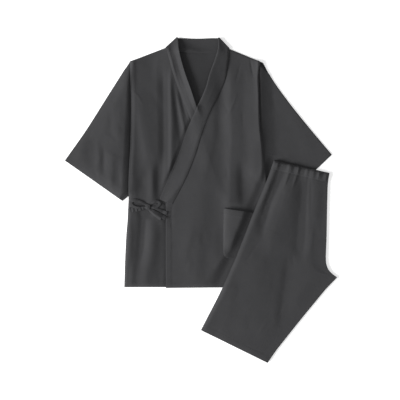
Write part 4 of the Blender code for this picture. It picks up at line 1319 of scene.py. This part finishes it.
def ringed_solid(name, rings, places):
    """Closed solid through rings of points, capped at both ends."""
    rows, sides = rings.shape[:2]
    index = np.arange(rows * sides).reshape(rows, sides)
    wrap = np.concatenate([index, index[:, :1]], axis=1)
    faces = [quads(wrap[:-1].T, wrap[1:].T).reshape(-1, 4)]
    for ring, order in ((index[0], 1), (index[-1], -1)):
        for k in range(sides // 2 - 1):
            cell = np.array([[ring[k], ring[k + 1], ring[sides - 2 - k], ring[sides - 1 - k]]])
            faces.append(cell[:, ::order])
    return mesh_piece(name, rings.reshape(-1, 3), np.concatenate(faces), places.reshape(-1, 2))


def make_knot():
    """Tape wrapped round itself: a squarish lump with two turns showing."""
    wide, long, tall = KNOT_SIZE
    spot = np.array([[[KNOT_AT.across + x * wide / 2, KNOT_AT.up + y * long / 2] for x in (-1, 0, 1)]
                     for y in (-1, 0, 1)])
    floor = float(ground.under(spot).max()) + GAP
    rise = np.linspace(-0.5 * math.pi, 0.5 * math.pi, KNOT_RINGS + 2)[1:-1]
    angle = np.arange(KNOT_SIDES) * 2 * math.pi / KNOT_SIDES
    shape = np.empty((KNOT_RINGS, KNOT_SIDES, 3))
    level = squared(np.sin(rise), 0.8)
    girth = np.abs(np.cos(rise)) ** 0.62
    shape[..., 0] = girth[:, None] * squared(np.cos(angle), 0.75)[None, :] * wide / 2
    shape[..., 1] = girth[:, None] * squared(np.sin(angle), 0.75)[None, :] * long / 2
    shape[..., 2] = level[:, None] * tall / 2
    turns = np.sin(shape[..., 1] * 0.62 + shape[..., 0] * 0.34 + 0.4)
    groove = -0.9 * np.exp(-(turns / 0.30) ** 2) + 0.25 * np.sin(shape[..., 0] * 1.1 + shape[..., 1] * 0.5)
    direction = shape / np.linalg.norm(shape, axis=2, keepdims=True)
    shape += direction * (groove * smooth((shape[..., 2] + tall * 0.35) / 3.0))[..., None]
    shape[..., 0] += KNOT_AT.across
    shape[..., 1] += KNOT_AT.up
    shape[..., 2] += floor + tall / 2 - min(0.0, float(shape[..., 2].min() + tall / 2))
    places = np.dstack(np.broadcast_arrays((angle * 8.0)[None, :], (level * 9.0)[:, None]))
    piece = ringed_solid("bow_knot", shape, places)
    finish(piece, ["tie_knot"], tie_cotton())


def make_ties():
    """Both ties, their knot, two loops and two tails."""
    tape_piece("tie_at_side", "side_tie", SIDE_TIE, 0.95, 1)
    make_knot()
    tape_piece("bow_side_loop", "tie_loop_side", SIDE_LOOP, 0.0, 2)
    tape_piece("bow_front_loop", "tie_loop_front", FRONT_LOOP, 0.0, 3)
    tape_piece("tie_at_front", "front_tie", FRONT_TIE, 0.12, 4)
    tape_piece("bow_long_tail", "tie_tail_long", LONG_TAIL, 0.0, 5)
    tape_piece("bow_short_tail", "tie_tail_short", SHORT_TAIL, 0.0, 6)


# ---------------------------------------------------------------- trousers

def leg_rails(marks, inset):
    """Outer edge, and the rise, crotch and inseam that face it, brought in by the given amount."""
    outer = rail(curved(on_layout(OUTER_EDGE)), marks)
    rise, inseam = marks <= TO_CROTCH, marks > TO_TIP
    inner = np.concatenate([
        rail(curved(on_layout(RISE_EDGE)), marks[rise] / TO_CROTCH),
        rail(curved(on_layout(CROTCH_EDGE)), (marks[~rise & ~inseam] - TO_CROTCH) / (TO_TIP - TO_CROTCH)),
        rail(on_layout(INSEAM_EDGE), (marks[inseam] - TO_TIP) / (1 - TO_TIP)),
    ])
    inward = inner - outer
    inward /= np.linalg.norm(inward, axis=1)[:, None]
    return outer + inward * inset, inner - inward * inset


def leg_marks():
    """Grid lines down a leg, with one at each end of the crotch's curve."""
    marks = shares(LEG_LENGTH, 3.2, (0.0, 1.0, 2.5), HEM_LINES)
    return np.unique(np.concatenate([marks, [TO_CROTCH, TO_TIP]]))


def leg(name, node, radius, inset, creases, seed, small):
    """One leg, folded flat at its outer edge and its inner seams: a flattened tube."""
    thick = thickness_of()
    outer, inner = leg_rails(leg_marks(), radius + inset)
    plan = straight(outer, inner, shares(LEG_WIDTH, 3.2, (0.0, 1.5, 3.5), (0.0, 1.5, 3.5)))
    near, far, waist, hem = border_distances(plan)
    edge = np.minimum(near, far)
    low = drape(plan, 120) + thick / 2
    puffed = (2 * radius - 1.2) * np.exp(-(edge / 30.0) ** 2)
    loose = relief(plan, creases, seed, small, -23.0)
    if creases:
        for crease in WAIST_RIPPLES:
            loose = loose + crease_height(plan, crease)
        loose = never_under(loose)
        full = smooth((waist - 1.0) / 9.0) * np.exp(-(waist / 52.0) ** 2)
        puffed = puffed + 1.7 * full * rounded_up(near, 18.0) * rounded_up(far, 14.0)
    fold_rise = 11.0 + 8.0 * np.exp(-(waist / 90.0) ** 2)
    held = eased(near / fold_rise) * smooth(far / 70.0) * smooth((waist + 3.0) / 11.0)
    held = held * (0.4 + 0.6 * eased(hem / 30.0))
    lifted = loose * held * (1.0 if creases else 0.35)
    top = low + 1.2 + puffed + lifted + hem_step(hem) * smooth(edge / 8.0)
    middle = tube_grid(plan, plan, top, low)
    surfaces[name] = np.dstack([plan, top])
    rim = middle.copy()
    rim[..., 2] += thick / 2
    ground.cover(np.concatenate([rim, rim[:, :1]], axis=1))
    places = grain(tube_places(plan, plan), -TROUSERS_TURN)
    piece = cloth_piece(name, middle, thick, places, closed=True)
    finish(piece, [node], trouser_cotton())
    2.0 * plan_area(plan)


def waistband_grid():
    """Places along the casing, its plan, and the height at which it rests."""
    u = np.linspace(0.0, 1.0, WAISTBAND_SECTIONS)
    v = shares(CASING_DEPTH, 2.0, (0.0, 0.6, 1.4, 2.6), (0.0, 0.8, 1.8))
    low_edge = [Cut(cut.inward, cut.down + WAISTBAND_LAP) for cut in WAIST_SEAM]
    plan = straight(rail(on_layout(WAIST_TOP), u), rail(on_layout(low_edge), u), v)
    return u, plan, drape(plan, 20) + thickness_of() / 2


def gather_tree():
    """Geometry Nodes that lift a casing into uneven gathers, each with its own height."""
    build = Shaper("Gathered Casing", (("Gathers", "Int", 9), ("Height", "Float", 0.003),
                                       ("Unevenness", "Float", 0.5), ("Seed", "Float", 4.0)), "Cloth")
    given = build.given

    def stored(name):
        return build.node("GeometryNodeInputNamedAttribute", {"data_type": "FLOAT"}, {"Name": name})

    across, held = stored("across"), stored("held")

    def noise(frequency, offset):
        place = across * frequency + given["Seed"] + offset
        return build.node("ShaderNodeTexNoise", {"noise_dimensions": "1D"},
                          {"Scale": 1.0, "Detail": 1.0, "W": place}) - 0.5

    drift, size = noise(7.0, 0.0), noise(17.0, 40.0)
    turns = (across + drift * 0.03) * (given["Gathers"] * (2.0 * math.pi))
    wave = turns.sine() * 0.5 + 0.5
    strength = (size * given["Unevenness"] * 4.0 + 0.9).maths("MAXIMUM", 0.12)
    lift = build.node("ShaderNodeCombineXYZ", None, {2: wave * strength * given["Height"] * held})
    lifted = build.node("GeometryNodeSetPosition", None, {"Geometry": given["Geometry"], "Offset": lift})
    return build.end(lifted, given["Cloth"])


def store(piece, name, values):
    """Store a value for each point of a sheet: for both of its faces, and then for its rim."""
    face, rim = values.reshape(-1), border_ring(values)[:-1]
    attribute = piece.data.attributes.new(name, "FLOAT", "POINT")
    attribute.data.foreach_set("value", np.concatenate([face, face, rim]).astype(np.float32))


def make_waistband():
    """The casing at the top of the trousers, with its gathers."""
    thick = thickness_of()
    u, plan, rest = waistband_grid()
    top, seam, near, far = border_distances(plan)
    end = np.minimum(near, far)
    puff = 2.3 * eased(top / 13.0) * rounded_up(end, 6.0)
    puff = puff * smooth((seam + 12.0) / 34.0) - 0.4 * (1.0 - smooth(seam / 4.0))
    grooves = sum(-0.2 * np.exp(-((top - at) / 1.8) ** 2) for at in ELASTIC_ROWS)
    drop = 5.0 * (1.0 - rounded_up(np.minimum(top, end), 4.5))
    middle = np.dstack([plan, rest + puff + grooves - drop])
    piece = cloth_piece("trousers_waistband", middle, thick,
                        grain(plan, -TROUSERS_TURN) * np.array([1.4, 1.0]))
    places, strengths = np.array(BAND_GATHERS).T
    crests = (np.arange(len(places)) + 0.25) / len(places)
    turned = np.interp(u, [0.0, *places, 1.0], [0.0, *crests, 1.0])
    held = (0.40 + 0.60 * smooth(top / 8.0)) * (0.20 + 0.80 * smooth(seam / 15.0)) * rounded_up(end, 5.0)
    held = held * np.interp(u, places, strengths)[:, None]
    store(piece, "across", np.broadcast_to(turned[:, None], held.shape))
    store(piece, "held", held)
    look, ungathered = trouser_cotton(), piece.data
    piece.data = shaped_mesh(piece, gather_tree(), {
        "Gathers": len(BAND_GATHERS), "Height": bpy.context.scene.jinbei_stitches.gather_height,
        "Unevenness": 0.35, "Seed": 4.0, "Cloth": look})
    piece.data.name = piece.name
    bpy.data.meshes.remove(ungathered)
    piece.data.shade_smooth()
    finish(piece, ["waistband"], look)


def make_trousers():
    """The lower leg, and the upper one on it."""
    leg("trousers_lower_leg", "trouser_layers", 1.0, 0.7, [], 71, 12)
    leg("trousers_upper_leg", "trouser_leg", 1.5, 0.0, TROUSER_CREASES, 81, 16)


# ---------------------------------------------------------------- stitches

def stitch_tree():
    """Geometry Nodes that lay short stitches along a line, each a little turned."""
    build = Shaper("Stitch Row", (("Pitch", "Float", 0.003), ("Length", "Float", 0.0023),
                                  ("Thickness", "Float", 0.0004), ("Seed", "Int", STITCH_SEED)), "Thread")
    given = build.given
    points = build.node("GeometryNodeCurveToPoints", {"mode": "LENGTH"},
                        {"Curve": given["Geometry"], "Length": given["Pitch"]})
    stitch = build.node("GeometryNodeMeshCylinder", {"fill_type": "NGON"}, {
        "Vertices": 6, "Radius": given["Thickness"] * 0.5, "Depth": given["Length"]})
    tilt = build.node("FunctionNodeRandomValue", {"data_type": "FLOAT_VECTOR"}, {
        0: (-0.10, -0.10, 0.0), 1: (0.10, 0.10, 3.1), "Seed": given["Seed"]})
    turned = build.node("FunctionNodeRotateRotation", {"rotation_space": "LOCAL"}, {
        "Rotation": points.sibling("Rotation"), "Rotate By": tilt})
    placed = build.node("GeometryNodeInstanceOnPoints", None, {
        "Points": points, "Instance": stitch, "Rotation": turned})
    return build.end(placed, given["Thread"])


def line_on(surface, border, distance, first, last, raise_by):
    """Line on a surface at a set distance from its first or last row or column."""
    grid = {"first column": surface, "last column": surface[:, ::-1],
            "first row": surface.transpose(1, 0, 2), "last row": surface[::-1].transpose(1, 0, 2)}[border]
    steps = np.linalg.norm(np.diff(grid, axis=1), axis=2)
    reached = np.concatenate([np.zeros((len(grid), 1)), np.cumsum(steps, axis=1)], axis=1)
    line = np.array([[np.interp(distance, reached[k], grid[k, :, axis]) for axis in range(3)]
                     for k in range(len(grid))])
    start, stop = int(first * (len(line) - 1)), int(last * (len(line) - 1)) + 1
    line = line[start:stop]
    line[:, 2] += raise_by
    return line


def stitch_piece(name, lines):
    """Rows of stitches along lines, as one piece."""
    settings = bpy.context.scene.jinbei_stitches
    curve = bpy.data.curves.new(name, "CURVE")
    curve.dimensions = "3D"
    for line in lines:
        spline = curve.splines.new("POLY")
        spline.points.add(len(line) - 1)
        points = np.column_stack([line * MM + SHIFT, np.ones(len(line))])
        spline.points.foreach_set("co", points.astype(np.float32).ravel())
    rows = bpy.data.objects.new(name + "_rows", curve)
    bpy.context.scene.collection.objects.link(rows)
    look = thread_look("sewing_thread", bpy.context.scene.jinbei_settings.thread_colour)
    mesh = shaped_mesh(rows, stitch_tree(), {
        "Pitch": settings.pitch, "Length": settings.length, "Thickness": settings.thickness,
        "Seed": STITCH_SEED, "Thread": look})
    bpy.data.objects.remove(rows, do_unlink=True)
    mesh.name = name
    piece = bpy.data.objects.new(name, mesh)
    bpy.context.scene.collection.objects.link(piece)
    finish(piece, [], look)
    if len(mesh.vertices) == 0:
        raise RuntimeError(name + " came out empty")


def make_stitches():
    """Rows of stitches along the hems, the free edge and the pocket."""
    if "trousers_upper_leg" not in surfaces:
        raise RuntimeError("The stitches need the cloth: make the jacket and the trousers first")
    proud = thickness_of() / 2 + 0.12
    hem = HEM - STITCH_IN
    left, right = surfaces["jacket_left_front"], surfaces["jacket_right_front"]
    pocket, trousers = surfaces["jacket_pocket"], surfaces["trousers_upper_leg"]
    free_from = int(0.70 * (len(left) - 1)) / (len(left) - 1)
    sleeves = [surfaces["jacket_right_sleeve"], surfaces["jacket_left_sleeve"]]
    stitch_piece("jacket_stitching", [
        line_on(left, "last row", hem, 0.02, 0.97, proud),
        line_on(right, "last row", hem, 0.03, 0.42, proud),
        line_on(left, "first column", FACING - STITCH_IN, free_from, 0.99, proud),
        line_on(pocket, "first column", STITCH_IN, 0.0, 1.0, proud),
        line_on(pocket, "last row", STITCH_IN, 0.0, 1.0, proud),
        line_on(pocket, "first row", POCKET_HEM - STITCH_IN, 0.02, 0.98, proud),
        *[line_on(item, "last row", hem, 0.02, 0.98, proud) for item in sleeves],
    ])
    stitch_piece("trousers_stitching", [line_on(trousers, "last row", hem, 0.02, 0.98, proud)])


# ---------------------------------------------------------------- stage

def make_stage():
    """The floor, two lights, the soft room and the camera."""
    settings = bpy.context.scene.jinbei_stage
    centre = np.array([*STAGE_MIDDLE, 0.0]) * MM + SHIFT
    look = Look("pale_floor")
    shader = look.node("ShaderNodeBsdfPrincipled", None, {
        "Base Color": (*settings.floor_colour, 1.0), "Roughness": 0.9, "Specular IOR Level": 0.1,
        "Emission Color": (1.0, 1.0, 1.0, 1.0), "Emission Strength": 0.45})
    look.node("ShaderNodeOutputMaterial", None, {"Surface": shader})
    bpy.ops.mesh.primitive_plane_add(size=14.0, location=(centre[0], centre[1], -0.0004))
    floor = bpy.context.active_object
    floor.name = "floor"
    floor.data.materials.append(look.material)

    def area_light(name, offset, size, power):
        lamp = bpy.data.lights.new(name, "AREA")
        lamp.shape, lamp.size, lamp.energy = "DISK", size, power
        item = bpy.data.objects.new(name, lamp)
        item.location = (centre[0] + offset[0], centre[1] + offset[1], offset[2])
        item.rotation_euler = (Vector(centre) - item.location).to_track_quat("-Z", "Y").to_euler()
        bpy.context.scene.collection.objects.link(item)

    area_light("key", KEY_FROM, 6.4, settings.key_power)
    area_light("overhead", OVERHEAD_FROM, 3.0, settings.key_power * OVERHEAD_SHARE)
    world = bpy.data.worlds.new("soft_room")
    world.use_nodes = True
    world.node_tree.nodes["Background"].inputs["Color"].default_value = (1.0, 1.0, 1.0, 1.0)
    world.node_tree.nodes["Background"].inputs["Strength"].default_value = settings.fill_strength
    bpy.context.scene.world = world
    lens = bpy.data.cameras.new("camera")
    lens.lens, lens.sensor_width = 100.0, 36.0
    camera = bpy.data.objects.new("camera", lens)
    camera.location = (centre[0], centre[1], settings.camera_height)
    bpy.context.scene.collection.objects.link(camera)
    bpy.context.scene.camera = camera
    bpy.context.scene.view_settings.view_transform = "Standard"


# ---------------------------------------------------------------- operators

class JINBEI_OT_back(bpy.types.Operator):
    """Lay the back of the jacket"""
    bl_idname = "jinbei.back"
    bl_label = "Back"
    bl_options = {"REGISTER", "UNDO"}

    def execute(self, context):
        make_back()
        return {"FINISHED"}


class JINBEI_OT_sleeves(bpy.types.Operator):
    """Lay both sleeves beside the back"""
    bl_idname = "jinbei.sleeves"
    bl_label = "Sleeves"
    bl_options = {"REGISTER", "UNDO"}

    def execute(self, context):
        make_sleeves()
        return {"FINISHED"}


class JINBEI_OT_fronts(bpy.types.Operator):
    """Lay the under front and the over front, with room for the collar between them"""
    bl_idname = "jinbei.fronts"
    bl_label = "Fronts"
    bl_options = {"REGISTER", "UNDO"}

    def execute(self, context):
        make_fronts()
        return {"FINISHED"}


class JINBEI_OT_collar(bpy.types.Operator):
    """Make the collar band from one front round the neck to the other"""
    bl_idname = "jinbei.collar"
    bl_label = "Collar"
    bl_options = {"REGISTER", "UNDO"}

    def execute(self, context):
        make_collar()
        return {"FINISHED"}


class JINBEI_OT_pocket(bpy.types.Operator):
    """Sew the patch pocket on the over front"""
    bl_idname = "jinbei.pocket"
    bl_label = "Pocket"
    bl_options = {"REGISTER", "UNDO"}

    def execute(self, context):
        make_pocket()
        return {"FINISHED"}


class JINBEI_OT_ties(bpy.types.Operator):
    """Tie the bow at the side: two ties, a knot, two loops and two tails"""
    bl_idname = "jinbei.ties"
    bl_label = "Ties"
    bl_options = {"REGISTER", "UNDO"}

    def execute(self, context):
        make_ties()
        return {"FINISHED"}


class JINBEI_OT_trousers(bpy.types.Operator):
    """Lay the folded legs of the trousers over the corner of the jacket"""
    bl_idname = "jinbei.trousers"
    bl_label = "Trousers"
    bl_options = {"REGISTER", "UNDO"}

    def execute(self, context):
        make_trousers()
        return {"FINISHED"}


class JINBEI_OT_waistband(bpy.types.Operator):
    """Gather the waistband over the top of the trousers"""
    bl_idname = "jinbei.waistband"
    bl_label = "Waistband"
    bl_options = {"REGISTER", "UNDO"}

    def execute(self, context):
        make_waistband()
        return {"FINISHED"}


class JINBEI_OT_stitches(bpy.types.Operator):
    """Sew the hems, the free edge and the pocket"""
    bl_idname = "jinbei.stitches"
    bl_label = "Stitches"
    bl_options = {"REGISTER", "UNDO"}

    def execute(self, context):
        make_stitches()
        return {"FINISHED"}


class JINBEI_OT_stage(bpy.types.Operator):
    """Set the floor, the soft light and the camera"""
    bl_idname = "jinbei.stage"
    bl_label = "Stage"
    bl_options = {"REGISTER", "UNDO"}

    def execute(self, context):
        make_stage()
        return {"FINISHED"}


STEPS = (
    JINBEI_OT_back, JINBEI_OT_sleeves, JINBEI_OT_fronts, JINBEI_OT_collar, JINBEI_OT_pocket,
    JINBEI_OT_ties, JINBEI_OT_trousers, JINBEI_OT_waistband, JINBEI_OT_stitches, JINBEI_OT_stage,
)


class JINBEI_PT_panel(bpy.types.Panel):
    """Steps that make the jinbei set"""
    bl_label = "Jinbei Set"
    bl_idname = "JINBEI_PT_panel"
    bl_space_type = "VIEW_3D"
    bl_region_type = "UI"
    bl_category = "Jinbei"

    def draw(self, context):
        scene = context.scene
        for group in (scene.jinbei_settings, scene.jinbei_stitches, scene.jinbei_stage):
            box = self.layout.box()
            for name in group.__annotations__:
                box.prop(group, name)
        column = self.layout.column(align=True)
        for step in STEPS:
            column.operator(step.bl_idname)


CLASSES = (JinbeiSettings, JinbeiStitches, JinbeiStage, *STEPS, JINBEI_PT_panel)
GROUPS = {"jinbei_settings": JinbeiSettings, "jinbei_stitches": JinbeiStitches, "jinbei_stage": JinbeiStage}


def register():
    for item in CLASSES:
        bpy.utils.register_class(item)
    for name, group in GROUPS.items():
        setattr(bpy.types.Scene, name, PointerProperty(type=group))


def unregister():
    for name in GROUPS:
        delattr(bpy.types.Scene, name)
    for item in reversed(CLASSES):
        bpy.utils.unregister_class(item)


def main():
    register()
    for step in STEPS:
        group, name = step.bl_idname.split(".")
        getattr(getattr(bpy.ops, group), name)()


if __name__ == "__main__":
    main()
